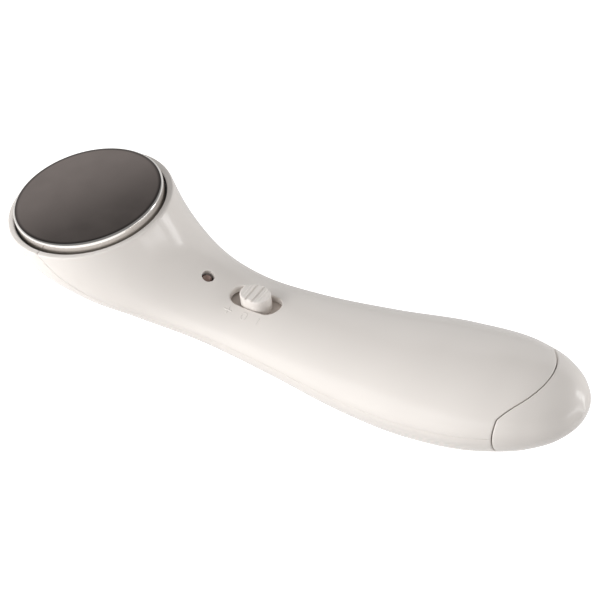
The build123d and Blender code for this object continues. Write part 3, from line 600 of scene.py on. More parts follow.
class Opening(Plane):
    """A slot or hole through the skin, on a plane of its own."""

    def __init__(self, from_plate, height, tilt, length, width, edge, depth):
        super().__init__(head_x + from_plate, height, tilt)
        self.straight = (length - width) / 2
        self.half_width = width / 2
        self.edge = edge
        self.depth = depth

    def flat(self, points):
        """Distances along and across the opening."""
        return np.stack([(points - self.origin) @ self.along, points[..., 1]], axis=-1)

    def on_skin(self, spot):
        """Place and angle on the skin over a spot of the plane, by Newton's rule."""
        guess = np.linspace(0, last_row, 600)
        x = self.origin[0] + spot[..., 0] * self.along[0]
        place = np.interp(x, section(guess)[:, 0], guess)
        angle = np.arccos(np.clip(spot[..., 1] / section(place)[..., 4], -0.95, 0.95))
        for _ in range(8):
            along, around, _ = skin_frame(place, angle)
            miss = self.flat(skin(place, angle)) - spot
            a, b = along @ self.along, around @ self.along
            c, d = along[..., 1], around[..., 1]
            size = a * d - b * c
            place = place - (d * miss[..., 0] - b * miss[..., 1]) / size
            angle = angle - (a * miss[..., 1] - c * miss[..., 0]) / size
        return place, angle

    def rings(self, rim):
        """Rings of points from the opening's outline to the border of its window in the grid.

        Each border point runs straight to the nearest point of the outline. Near the outline the
        skin drops on a quarter circle.
        """
        spot = self.flat(rim)
        middle = np.clip(spot[:, 0], -self.straight, self.straight)
        core = np.stack([middle, np.zeros_like(middle)], axis=-1)
        away = spot - core
        reach = np.linalg.norm(away, axis=-1)
        away = away / reach[:, None]
        outline = core + away * self.half_width
        near, drop = rim_steps(self.edge)
        shares = np.array([0.1, 0.3, 0.55, 0.8, 1.0])[:, None]
        beyond = self.edge + shares * (reach - self.half_width - self.edge)
        distance = np.concatenate([np.repeat(near[:, None], len(rim), axis=1), beyond])
        drop = np.concatenate([drop, np.zeros(len(beyond))])
        spots = outline[None] + distance[..., None] * away[None]
        place, angle = self.on_skin(spots)
        normal = skin_frame(place, angle)[2]
        blend = np.clip(distance / np.maximum(distance[-1:], 1e-9), 0, 1)[..., None]
        inward = unit(normal * blend + self.up * (1 - blend))
        outer = skin(place, angle) - drop[:, None, None] * inward
        inner = skin(place, angle) - self.depth * inward
        return outer, inner

    def cut(self, weave, points, outer, inner, keep):
        """Opens a window in both grids of numbers and fills it up to the opening's edge."""
        spot = self.flat(points)
        length = self.straight + self.half_width + window_margin[0]
        inside = (np.abs(spot) < (length, self.half_width + window_margin[1])).all(axis=-1)
        # Only the top of the housing
        inside &= points[..., 2] > neck_height / 2
        rows, columns = (np.flatnonzero(inside.any(axis=axis)) for axis in (1, 0))
        window = (rows[0], rows[-1], columns[0], columns[-1])
        keep[window[0]:window[1], window[2]:window[3]] = False
        rims = border(outer, *window), border(inner, *window)
        walls = self.rings(points.reshape(-1, 3)[rims[0] - outer[0, 0]])
        edges = [weave.add(wall[:-1]) for wall in walls]
        for edge, rim in zip(edges, rims):
            weave.cover(np.vstack([edge, rim]), closed=True)
        weave.join(edges[0][0], edges[1][0], closed=True)


def border(index, first_row, last, first_column, last_column):
    """Numbers round a window of a grid, in order."""
    return np.concatenate([
        index[first_row, first_column:last_column],
        index[first_row:last, last_column],
        index[last, last_column:first_column:-1],
        index[last:first_row:-1, first_column],
    ])


def seam_place(angle_at, shift, low=6.5, high=11.5):
    """Place where each column meets the seam, moved towards the tail by the shift."""

    def past(place):
        """Distance of the skin behind the seam."""
        points = skin(place, angle_at(place))
        return points[..., 0] - (tail_x - seam_from_tail + shift + seam_line(points[..., 1]))

    columns = angle_at(np.float64(low)).shape
    return solve(past, np.full(columns, low), np.full(columns, high))


def column_shares(count):
    """Shares of the way round a half, closer together where the seam turns its corner."""
    corner = math.acos(seam_corner / (shoulder_width / 2)) / math.pi
    near = np.linspace(-corner_reach, corner_reach, corner_columns)
    shares = np.concatenate([np.linspace(0, 1, count), corner + near, 1 - corner + near])
    shares = np.sort(shares)
    apart = np.concatenate([[True], np.diff(shares) > least_apart])
    return shares[apart][1:-1]


def shell_half(side, settings):
    """Upper (side 1) or lower (side -1) half of the housing, from its recess to its spigot.

    Rows run along a closed path: ledge, recess wall, lip, skin, seam, spigot and back inside, and
    columns run round from one parting edge to the other. A point is the skin at its place and
    angle, less its inset times the normal.
    """
    gap = 0.0 if side > 0 else parting_gap
    edge_near, edge_drop = rim_steps(settings.parting_round)
    shares = column_shares(settings.columns)
    columns = 2 * len(edge_near) + len(shares)
    dense = np.linspace(0, last_row, 1201)
    full = np.ones_like(dense)
    dense_angle = solve(
        lambda a: over_parting(skin(dense, a), gap), parting_low * full, parting_high * full
    )

    def spread(start, rate):
        """Angles of all columns from one parting edge to the other."""
        start, rate = np.asarray(start)[..., None], np.asarray(rate)[..., None]
        full = np.pi - side * 2 * start
        lead = edge_near / rate
        middle = lead[..., -1:] + shares * (full - 2 * lead[..., -1:])
        way = np.concatenate([lead, middle, full - lead[..., ::-1]], axis=-1)
        return start + side * way

    def angle_at(place):
        """Angles of all columns where each column has its own place."""
        place = np.broadcast_to(place, np.shape(place)[:-1] + (columns,))
        start = np.interp(place, dense, dense_angle)
        rate = np.linalg.norm(skin_frame(place, start)[1], axis=-1)
        return np.diagonal(spread(start, rate), axis1=-2, axis2=-1)

    end = seam_place(angle_at, 0.0)
    end_angle = angle_at(end)
    speed = speed_across(end, end_angle, np.gradient(skin(end, end_angle), axis=0))
    seam_near, seam_drop = rim_steps(settings.seam_round)

    # Skin rows: from the lip's rounding to the spigot's root, then to the seam
    lip = np.zeros(columns)
    start = lip_round / np.linalg.norm(skin_frame(lip + 1e-3, angle_at(lip))[0], axis=-1)
    root = end - spigot_root / speed
    share = np.linspace(0, 1, settings.rows)[:, None]
    length = (
        np.interp(start, station_place, station_length) * (1 - share)
        + np.interp(root, station_place, station_length) * share
    )
    at = np.interp(length, station_length, station_place)
    to_seam = root + np.linspace(0, 1, 6)[1:, None] * (end - seam_near[-1] / speed - root)
    rim = end - seam_near[::-1][1:, None] / speed
    places = np.concatenate([at, to_seam, rim])
    angles = angle_at(places)
    outer = skin(places, angles)

    # Head rows, from the ledge up the recess wall and over the lip
    def ring_row(radius, height):
        """Points round the head's axis in all columns."""
        start_angle = solve(
            lambda a: over_parting(ring(radius, height, a), gap), parting_low, parting_high
        )
        return ring(radius, height, spread(start_angle, radius))

    depths = (recess_depth, recess_depth / 2, lip_round)
    wall_rows = np.stack([ring_row(recess_radius, -plate_stand - depth) for depth in depths])
    inside_corner = ring_row(recess_radius, -plate_stand)
    inside_top = ring_row(recess_radius + lip_round, -plate_stand)
    outside_top = ring_row(lip_radius - lip_round, -plate_stand)
    outside_corner = skin(lip, angle_at(lip))
    head_rows = np.concatenate([
        wall_rows, rounded(wall_rows[-1], inside_corner, inside_top)[1:],
        ((inside_top + outside_top) / 2)[None], rounded(outside_top, outside_corner, outer[0])[:-1],
    ])
    down, round_head = np.gradient(head_rows, axis=(0, 1))
    head_normal = unit(np.cross(round_head, down)) * side

    # Inside rows share the skin's places beyond the head
    def under_ledge(place):
        """Depth of the wall's inside under the ledge."""
        inside = below(place, angle_at(place), settings.wall)
        return (inside - head_centre) @ -head_up - plate_stand - recess_depth

    ledge = solve(under_ledge, lip + ledge_low, lip + ledge_high)
    shared = settings.rows // 7
    share = (np.arange(shared) / shared)[:, None]
    inner_places = np.concatenate([ledge * (1 - share) + at[shared] * share, at[shared:]])
    inner = below(inner_places, angle_at(inner_places), settings.wall)

    # Edges drop on a quarter circle at the parting line and at the seam
    seam_row_drop = np.concatenate([np.zeros(len(places) - len(seam_drop)), seam_drop[::-1]])
    column_drop = np.concatenate([edge_drop, np.zeros(len(shares)), edge_drop[::-1]])
    drop = np.maximum(seam_row_drop[:, None], column_drop)[..., None]
    outer = below(places, angles, drop)
    head_rows = head_rows - column_drop[:, None] * head_normal

    # Spigot rows, out behind the seam and back to its root
    out = end + np.linspace(0, 1, 5)[:, None] * spigot_reach / speed
    back = np.concatenate([out[::-1], (root + (end - root) * 0.5)[None], root[None]])
    spigot_places = np.concatenate([out, back])
    inset = settings.wall + spigot_clearance + np.repeat([0.0, spigot_wall], [len(out), len(back)])
    spigot = below(spigot_places, angle_at(spigot_places), inset[:, None, None])

    weave = Weave()
    head_index = weave.add(head_rows)
    outer_index = weave.add(outer)
    spigot_index = weave.add(spigot)
    inner_index = weave.add(inner)
    keep = np.ones((len(outer) - 1, columns - 1), bool)
    openings = shell_openings(settings) if side > 0 else []
    for opening in openings:
        opening.cut(weave, outer[: settings.rows], outer_index, inner_index, keep)
    weave.cover(head_index)
    weave.join(head_index[-1], outer_index[0])
    weave.cover(outer_index, keep)
    weave.cover(np.vstack([outer_index[-1:], spigot_index]))
    weave.cover(inner_index, keep[: len(inner) - 1])
    weave.join(spigot_index[-1], inner_index[-1])
    weave.join(inner_index[0], head_index[0])
    last = len(inner) - 1
    for column in (0, columns - 1):
        weave.join(outer_index[: last + 1, column], inner_index[:, column])
        weave.close([*head_index[:, column], outer_index[0, column], inner_index[0, column]])
        weave.close([
            *outer_index[last:, column], *spigot_index[:, column], inner_index[last, column]
        ])
    return weave


def shell_openings(settings):
    """Switch slot and lamp hole of the upper shell."""
    slot = Opening(
        switch_from_plate, switch_height, switch_tilt, slot_length, slot_width,
        settings.slot_round, settings.wall,
    )
    hole_dia = lamp_dia + 2 * lamp_hole_clearance
    hole = Opening(
        lamp_from_plate, lamp_height, lamp_tilt, hole_dia, hole_dia, settings.lamp_round,
        settings.wall,
    )
    return [slot, hole]


def cover_cap(settings):
    """Battery cover: skin from the seam to the tip, and a hollow inside up to the dome's end."""
    half = column_shares(settings.columns)
    shares = np.concatenate([[0.0], half, [1.0], 1 + half])
    angle = shares * np.pi

    def angle_at(place):
        """Angles of all columns, which are the same everywhere."""
        return np.broadcast_to(angle, np.broadcast_shapes(np.shape(place), angle.shape))

    start = seam_place(angle_at, seam_gap)
    points = skin(start, angle)
    run = np.roll(points, -1, axis=0) - np.roll(points, 1, axis=0)
    near, drop = rim_steps(settings.cover_round)
    edge = start + near[:, None] / speed_across(start, angle, run)
    body = edge[-1] + np.linspace(0, 1, 60)[1:, None] * (last_row - edge[-1])
    drop = np.concatenate([drop, np.zeros(len(body))])[:, None, None]
    outer = below(np.concatenate([edge, body]), angle, drop)
    nose = closing(outer[-1], [0.66, 0.33, 0.0])
    inside = start + np.linspace(0, 1, 24)[:, None] * (dome_end_row - start)
    inner = below(inside, angle, settings.wall)
    floor = closing(inner[-1], [0.5, 0.0])
    weave = Weave()
    weave.tube(np.concatenate([floor[::-1], inner[::-1], outer, nose]))
    weave.tube(contact_post())
    return weave


def contact_post():
    """Post with rounded corners, a rectangle carried from the contact into the dome's inside."""
    bay = Plane(tail_x - bay_from_tail, bay_height, bay_tilt)
    turn = np.linspace(0, 2 * np.pi, 48, endpoint=False) + np.pi / 48
    way = np.stack([np.cos(turn), np.sin(turn)], axis=1)
    outline = np.sign(way) * (np.array(post_size) / 2 - post_corner) + post_corner * way
    share = np.array([0.0, 1.0, 1.0, 0.0])[:, None]
    level = np.array([post_start, post_start, post_end, post_end])[:, None]
    spots = np.stack(np.broadcast_arrays(level, share * outline[:, 0]), axis=-1)
    return bay.raised(spots, share * outline[:, 1])


def revolve(profile, origin, up, along, count):
    """Surface of revolution: each profile point, a radius and a height, carried round the axis."""
    profile = np.asarray(profile, float)
    turn = np.linspace(0, 2 * np.pi, count, endpoint=False)
    side = np.cross(up, along)
    radial = np.cos(turn)[:, None] * along + np.sin(turn)[:, None] * side
    return origin + profile[:, None, :1] * radial[None] + profile[:, None, 1:] * up


def arc(centre, radius, start, end, steps):
    """Points of an arc in a profile, with angles in degrees."""
    turn = np.radians(np.linspace(start, end, steps))
    return np.stack([centre[0] + radius * np.cos(turn), centre[1] + radius * np.sin(turn)], axis=1)


# Finishes

# Numbers of the sockets that a mix node has for colours
colour_a, colour_b, colour_out = 6, 7, 2


def node(tree, kind, inputs=(), **settings):
    """New node of a tree. Its inputs, by name or number, get values or links."""
    made = tree.nodes.new("ShaderNode" + kind)
    for name, value in settings.items():
        setattr(made, name, value)
    for key, value in dict(inputs).items():
        socket = made.inputs[key]
        if isinstance(value, bpy.types.NodeSocket):
            tree.links.new(value, socket)
        else:
            socket.default_value = (*value, 1.0) if socket.type == "RGBA" else value
    return made


class Finish:
    """Node tree of one material, with short ways to add what the finishes share."""

    def __init__(self, name, **sockets):
        self.material = bpy.data.materials.new(name)
        self.material.use_nodes = True
        self.tree = self.material.node_tree
        self.tree.nodes.clear()
        inputs = {socket.replace("_", " "): value for socket, value in sockets.items()}
        self.shader = self.node("BsdfPrincipled", inputs)
        self.output = self.node("OutputMaterial", {"Surface": self.shader.outputs["BSDF"]})
        self.place = self.node("TexCoord").outputs["Object"]

    def node(self, kind, inputs=(), **settings):
        """New node of the material."""
        return node(self.tree, kind, inputs, **settings)

    def mapped(self, scale=(1, 1, 1), turn=(0, 0, 0)):
        """Object coordinates turned and scaled."""
        inputs = {"Vector": self.place, "Rotation": turn, "Scale": scale}
        return self.node("Mapping", inputs).outputs["Vector"]

    def part(self, axis, vector=None):
        """One of the three coordinates."""
        return self.node("SeparateXYZ", {"Vector": vector or self.place}).outputs[axis]

    def noise(self, scale, detail=2.0, vector=None):
        """Noise over the object, from 0 to 1."""
        inputs = {"Vector": vector or self.place, "Scale": scale, "Detail": detail}
        return self.node("TexNoise", inputs).outputs["Fac"]

    def spread(self, value, low, high, start=0.3, end=0.7):
        """A value carried from one range to another."""
        limits = {"From Min": start, "From Max": end, "To Min": low, "To Max": high}
        return self.node("MapRange", {"Value": value, **limits}).outputs["Result"]

    def mix(self, factor, first, second):
        """Colour between two, by a factor."""
        inputs = {"Factor": factor, colour_a: first, colour_b: second}
        return self.node("Mix", inputs, data_type="RGBA").outputs[colour_out]

    def set(self, name, socket):
        """Links an input of the shader."""
        self.tree.links.new(socket, self.shader.inputs[name])

    def colour(self, socket):
        """Links the shader's colour."""
        self.set("Base Color", socket)

    def roughness(self, value, low, high):
        """Roughness that wanders between two values."""
        self.set("Roughness", self.spread(value, low, high))

    def bump(self, value, height, strength=1.0):
        """Bump of a real height in metres."""
        inputs = {"Height": value, "Distance": height, "Strength": strength}
        self.set("Normal", self.node("Bump", inputs).outputs["Normal"])


def shade(colour, factor):
    """A colour made lighter or darker."""
    return tuple(min(1.0, channel * factor) for channel in colour)


def moulded(name, colour, rough=0.16, ripple=1.5e-6, grain=0.0):
    """Moulded plastic: colour that drifts slightly, faint flow ripple, and fine grain if satin."""
    finish = Finish(name, IOR=1.49, Specular_IOR_Level=0.5)
    cloud = finish.noise(28.0, 3.0)
    finish.colour(finish.mix(cloud, shade(colour, 0.97), shade(colour, 1.03)))
    finish.roughness(finish.noise(90.0, 4.0), rough * 0.85, rough * 1.15)
    if grain:
        finish.bump(finish.noise(9000.0), grain)
    else:
        finish.bump(finish.noise(240.0, 1.0), ripple)
    return finish.material


def metal(name, colour, rough, stretch):
    """Drawn or turned metal: fine lines in its colour, roughness and bump."""
    finish = Finish(name, Metallic=1.0)
    lines = finish.noise(900.0, 3.0, finish.mapped(stretch))
    finish.colour(finish.mix(lines, shade(colour, 0.88), shade(colour, 1.08)))
    finish.roughness(lines, rough * 0.7, rough * 1.3)
    finish.bump(lines, 2e-6)
    return finish.material


def plate_finish(settings):
    """Dark polished face with faint wiping marks, a painted highlight over the rounded edge and a
    painted dark reflection line just inside it.
    """
    finish = Finish("plate_metal", Metallic=1.0)
    # edge and border are the masks of the painted highlight over the rounded edge and of the
    # painted dark reflection line just inside it
    edge, dark_line_mask = (
        finish.node("Attribute", attribute_name=name).outputs["Fac"] for name in ("edge", "border")
    )
    wiped = finish.noise(60.0, 5.0, finish.mapped((1.0, 0.25, 1.0), (0, 0, math.radians(32))))
    dark = finish.mix(wiped, shade(settings.face_colour, 0.94), shade(settings.face_colour, 1.06))
    # Painted dark reflection line just inside the edge
    lined = finish.mix(dark_line_mask, dark, shade(settings.face_colour, 0.2))
    # Painted highlight over the rounded edge
    finish.colour(finish.mix(edge, lined, tuple(settings.edge_highlight_colour)))
    finish.roughness(finish.noise(140.0, 4.0), 0.08, 0.13)
    finish.bump(finish.noise(500.0), 4e-7)
    return finish.material


# Operators

class APPLICATOR_OT_housing(bpy.types.Operator):
    """Builds the upper and lower shells over their CAD nodes."""

    bl_idname = "applicator.housing"
    bl_label = "Housing shells"

    def execute(self, context):
        settings = context.scene.applicator_housing
        plastic = moulded("shell_plastic", tuple(settings.colour))
        for side, name in ((1, "upper_shell"), (-1, "lower_shell")):
            weave = shell_half(side, settings)
            piece(name + "_skin", weave, "housing", "shell", plastic, name)
        return {"FINISHED"}


class APPLICATOR_OT_cover(bpy.types.Operator):
    """Builds the battery cover over its CAD node."""

    bl_idname = "applicator.cover"
    bl_label = "Battery cover"

    def execute(self, context):
        weave = cover_cap(context.scene.applicator_housing)
        plastic = bpy.data.materials["shell_plastic"]
        piece("battery_cover_skin", weave, "cover", "shell", plastic, "battery_cover")
        return {"FINISHED"}


class APPLICATOR_OT_plate(bpy.types.Operator):
    """Builds the treatment plate over its CAD node."""

    bl_idname = "applicator.plate"
    bl_label = "Treatment plate"

    def execute(self, context):
        settings = context.scene.applicator_plate
        edge, crown, skirt = settings.edge_radius, settings.crown, settings.skirt
        sheet = settings.thickness
        flat_radius, bore = plate_radius - edge, plate_radius - sheet
        flat = np.linspace(0.0, flat_radius, 25)
        profile = np.concatenate([
            np.stack([flat, -crown * (flat / flat_radius) ** 2], axis=1)[:-1],
            arc((flat_radius, -edge - crown), edge, 90, 0, 12),
            [(plate_radius, -edge - crown - 0.1), (plate_radius, -skirt + 0.2)],
            [(plate_radius - 0.05, -skirt), (bore, -skirt), (bore, -edge)],
            [(bore - 0.1, -sheet), (0.0, -sheet)],
        ])
        weave = Weave()
        weave.tube(revolve(profile, head_centre, head_up, head_along, 240))
        plate = piece(
            "treatment_plate_skin", weave, "housing", "plate", plate_finish(settings),
            "treatment_plate",
        )
        self.mark_edge_highlight(plate.data, flat_radius, edge)
        return {"FINISHED"}

    def mark_edge_highlight(self, data, flat_radius, edge):
        """Writes the masks of the painted highlight over the edge and of the painted dark
        reflection line inside it.
        """
        co = np.empty(len(data.vertices) * 3)
        data.vertices.foreach_get("co", co)
        local = co.reshape(-1, 3) / MM - head_centre
        height = local @ head_up
        past = np.linalg.norm(local - height[:, None] * head_up, axis=1) - flat_radius
        # Mask of the painted highlight: how far the face has turned into the edge
        turned = np.clip(past / (highlight_share * edge), 0, 1)
        # Mask of the painted dark reflection line, inset from the edge
        band = np.clip((past + dark_line_inset) / dark_line_soft, 0, 1) * (height > -1.5 * edge)
        for name, share in (("edge", turned), ("border", band)):
            layer = data.attributes.new(name, "FLOAT", "POINT")
            layer.data.foreach_set("value", share.astype(np.float32))


def grip(spots):
    """Heights of the grip pattern over the top: one rib between two grooves, four fine lines."""
    off = np.abs(spots[..., 0])

    def step(at):
        """Smooth step from 0 to 1 about a distance from the middle."""
        share = np.clip((off - at) / groove_soft + 0.5, 0, 1)
        return share * share * (3 - 2 * share)

    rib = rib_height * (1 - step(rib_width / 2))
    groove = groove_depth * (step(rib_width / 2) - step(rib_width / 2 + groove_width))
    lines = sum(np.exp(-((off - at) / fine_width) ** 2) for at in fine_lines)
    return rib - groove - fine_depth * lines


class APPLICATOR_OT_knob(bpy.types.Operator):
    """Builds the slide knob with its ribs over its CAD node."""

    bl_idname = "applicator.knob"
    bl_label = "Slide knob"

    def execute(self, context):
        housing = context.scene.applicator_housing
        plane = shell_openings(housing)[0]
        half, straight = knob_width / 2, (knob_length - knob_width) / 2
        low = half - knob_edge
        reach = np.linspace(-1, 1, knob_points[0])
        # Points along the knob lie a little closer together at its round ends
        x = (straight + low) * np.sin(reach * np.pi / 2) * knob_crowding
        x = x + (straight + low) * reach * (1 - knob_crowding)
        side = np.sqrt(np.maximum(low ** 2 - np.maximum(np.abs(x) - straight, 0) ** 2, 0))
        y = side[:, None] * np.linspace(-1, 1, knob_points[1])
        lid = np.stack([np.broadcast_to(x[:, None], y.shape), y], axis=-1)
        rim = np.concatenate([lid[:, -1], lid[-2:0:-1, 0]])
        core = np.stack([np.clip(rim[:, 0], -straight, straight), 0 * rim[:, 0]], axis=-1)
        near, drop = rim_steps(knob_edge, 7)
        # Rows of the side, from its foot to the rounding
        wall = np.array([-shutter_depth, -1.0, 0.5, knob_height - 0.9])
        inset = np.concatenate([0 * wall, near[:-1]])[:, None, None]
        levels = np.concatenate([wall, knob_height - drop[:-1]])[:, None]
        fade = np.concatenate([0 * wall, 1 - drop[:-1] / knob_edge])[:, None]
        spots = core + unit(rim - core) * (half - inset)
        walls = plane.raised(spots, levels + grip(spots) * fade)
        last = plane.raised(rim, knob_height + grip(rim))
        weave = Weave()
        weave.cover(weave.add(plane.raised(lid, knob_height + grip(lid))))
        weave.tube(np.concatenate([closing(walls[0], [0.0]), walls, last[None]]))
        plastic = moulded("knob_plastic", shade(tuple(housing.colour), 1.04), 0.26, ripple=1e-6)
        piece("switch_knob_skin", weave, "switch", "knob", plastic, "switch_knob", smooth=50.0)
        return {"FINISHED"}


class APPLICATOR_OT_lamp(bpy.types.Operator):
    """Builds the indicator lamp over its CAD node."""

    bl_idname = "applicator.lamp"
    bl_label = "Indicator lamp"

    def execute(self, context):
        hole = shell_openings(context.scene.applicator_housing)[1]
        radius = lamp_dia / 2
        reach, base = radius + flange_reach, -lamp_sink - lamp_length
        profile = np.concatenate([
            [(0.0, base), (reach, base), (reach, base + flange_height)],
            [(radius, base + flange_height), (radius, -lamp_sink - radius - lamp_neck)],
            arc((0.0, -lamp_sink - radius), radius, 0, 90, 14),
        ])
        weave = Weave()
        weave.tube(revolve(profile, hole.origin, hole.up, hole.along, 64))
        finish = Finish("lamp_lens", IOR=1.5, Roughness=0.08, Coat_Weight=0.6, Coat_Roughness=0.03)
        cloud = finish.noise(700.0)
        finish.colour(finish.mix(cloud, (0.19, 0.115, 0.095), (0.34, 0.235, 0.2)))
        piece("indicator_lamp_lens", weave, "housing", "lamp", finish.material, "indicator_lamp")
        return {"FINISHED"}


class APPLICATOR_OT_marks(bpy.types.Operator):
    """Raises the plus, zero and minus marks beside the switch."""

    bl_idname = "applicator.marks"
    bl_label = "Switch marks"

    def execute(self, context):
        plane = shell_openings(context.scene.applicator_housing)[0]
        bar = np.linspace(-1, 1, 25)[:, None]
        turn = np.linspace(0, 2 * np.pi, 49)
        oval = np.stack([zero_reach[0] * np.cos(turn), zero_reach[1] * np.sin(turn)], axis=1)
        plus, zero, minus = np.array([plus_mark, zero_mark, minus_mark]) - (switch_from_plate, 0.0)
        paths = [
            plus + bar * (0.0, plus_reach), plus + bar * (plus_reach, 0.0),
            minus + bar * (0.0, minus_reach), zero + oval,
        ]
        offset = np.linspace(-0.5, 0.5, 9)
        lift = mark_height * (1 - (2 * offset) ** 2) ** 0.8
        weave = Weave()
        for path in paths:
            run = unit(np.gradient(path, axis=0))
            steps = np.arange(len(path))
            from_end = np.minimum(steps, steps[::-1]) / mark_end_steps
            ends = np.sqrt(1 - (1 - from_end).clip(0) ** 2)
            if np.allclose(path[0], path[-1]):
                run[[0, -1]] = unit(path[1] - path[-2])
                ends = np.ones(len(path))
            aside = np.stack([-run[:, 1], run[:, 0]], axis=1)[:, None]
            width = (offset * mark_width)[:, None] * ends[:, None, None]
            place, angle = plane.on_skin(path[:, None] + aside * width)
            rise = (lift * ends[:, None] - mark_sink)[..., None]
            top, foot = below(place, angle, -rise), below(place, angle, mark_foot)
            weave.tube(np.concatenate([top, foot[:, ::-1]], axis=1))
        plastic = bpy.data.materials["shell_plastic"]
        piece("switch_marks", weave, "housing", "shell", plastic, smooth=60.0)
        return {"FINISHED"}


# Inner pieces of plastic: material, colour, roughness and height of the grain in metres
inner_plastics = {
    "plate_carrier": ("carrier_plastic", (0.03, 0.03, 0.033), 0.45, 4e-6),
    "cushion_ring": ("grey_silicone", (0.26, 0.26, 0.26), 0.6, 3e-6),
    "head_frame": ("frame_plastic", (0.22, 0.22, 0.22), 0.45, 4e-6),
    "battery_tray": ("tray_plastic", (0.62, 0.6, 0.57), 0.4, 4e-6),
    # The shutter's colour is darker and browner than the housing plastic: painted shade of the slot
    # floor
    "switch_shutter": ("shutter_plastic", (0.58, 0.51, 0.46), 0.5, 6e-6),
    "switch_lever": ("lever_plastic", (0.04, 0.04, 0.042), 0.45, 4e-6),
    "motor_end_bell": ("bell_plastic", (0.5, 0.5, 0.48), 0.45, 4e-6),
    "motor_holder": ("holder_plastic", (0.05, 0.05, 0.055), 0.45, 4e-6),
    "switch_base": ("brown_laminate", (0.22, 0.11, 0.05), 0.55, 4e-6),
    "driver_chip": ("chip_resin", (0.02, 0.02, 0.022), 0.4, 3e-6),
    "drive_transistor": ("transistor_resin", (0.022, 0.022, 0.024), 0.4, 3e-6),
    "resistors": ("resistor_glaze", (0.03, 0.03, 0.035), 0.3, 2e-6),
    "capacitor": ("capacitor_sleeve", (0.035, 0.04, 0.12), 0.3, 0.0),
    "motor_lead_red": ("red_sheath", (0.55, 0.02, 0.02), 0.35, 0.0),
    "battery_lead_red": ("red_sheath_b", (0.55, 0.02, 0.02), 0.35, 0.0),
    "motor_lead_black": ("black_sheath", (0.02, 0.02, 0.02), 0.35, 0.0),
    "battery_lead_black": ("black_sheath_b", (0.02, 0.02, 0.02), 0.35, 0.0),
}

# Metals inside: colour, roughness, stretch of the drawn lines and the pieces made of it
inner_metals = {
    "nickel_steel": (
        (0.56, 0.55, 0.53), 0.22, (1, 8, 8), ("motor_can", "switch_frame", "motor_shaft"),
    ),
    "tinned_wire": ((0.72, 0.72, 0.72), 0.3, (1, 1, 1), ("motor_terminals", "lamp_legs")),
    "spring_brass": (
        (0.74, 0.62, 0.36), 0.28, (1, 1, 1), ("contact_plus", "contact_minus", "bridge_contact"),
    ),
    "zinc_screws": (
        (0.62, 0.63, 0.65), 0.3, (1, 1, 1), ("carrier_screws", "holder_screws", "board_screws"),
    ),
    "tungsten_weight": ((0.33, 0.33, 0.34), 0.35, (1, 1, 1), ("eccentric_weight",)),
}

# Pieces that the operators above build anew
rebuilt = {
    "upper_shell", "lower_shell", "battery_cover", "treatment_plate", "switch_knob",
    "indicator_lamp",
}


class APPLICATOR_OT_inside(bpy.types.Operator):
    """Gives every CAD node that stays its own finish."""

    bl_idname = "applicator.inside"
    bl_label = "Inner pieces"

    def execute(self, context):
        finishes = {}
        for name, (colour, rough, stretch, pieces) in inner_metals.items():
            finishes.update(dict.fromkeys(pieces, metal(name, colour, rough, stretch)))
        for name, (material, colour, rough, grain) in inner_plastics.items():
            finishes[name] = moulded(material, colour, rough, grain=grain)
        finishes["circuit_board"] = board_finish()
        for side in "ab":
            finishes["battery_" + side] = cell_finish("cell_wrap_" + side)
        missing = set(frame["nodes"]) - set(finishes) - rebuilt
        if missing:
            raise RuntimeError(f"no finish for {sorted(missing)}")
        for name, material in finishes.items():
            data = frame["nodes"][name].data
            data.materials.clear()
            data.materials.append(material)
        return {"FINISHED"}


def board_finish():
    """Solder mask over copper: green lacquer with lighter lines where tracks run under it."""
    finish = Finish("board_lacquer", IOR=1.5, Coat_Weight=0.3)
    tracks = finish.node("TexBrick", {
        "Vector": finish.place, "Scale": 220.0, "Mortar Size": 0.08, "Color1": (0.01, 0.09, 0.035),
        "Color2": (0.012, 0.1, 0.04), "Mortar": (0.03, 0.2, 0.08),
    })
    finish.colour(tracks.outputs["Color"])
    finish.roughness(finish.noise(200.0, 3.0), 0.25, 0.35)
    finish.bump(tracks.outputs["Fac"], 2e-5, 0.4)
    return finish.material


def cell_finish(name):
    """Plain wrapped cell: dark body, a copper-coloured band round one end."""
    finish = Finish(name, Metallic=0.85)
    end = finish.part("X", finish.mapped(turn=(0, bay_tilt, 0)))
    band = finish.spread(end, 0.0, 1.0, 0.058, 0.0583)
    finish.colour(finish.mix(band, (0.06, 0.06, 0.065), (0.62, 0.36, 0.2)))
    finish.roughness(finish.noise(300.0, 3.0), 0.25, 0.35)
    finish.bump(finish.noise(900.0), 1e-6)
    return finish.material


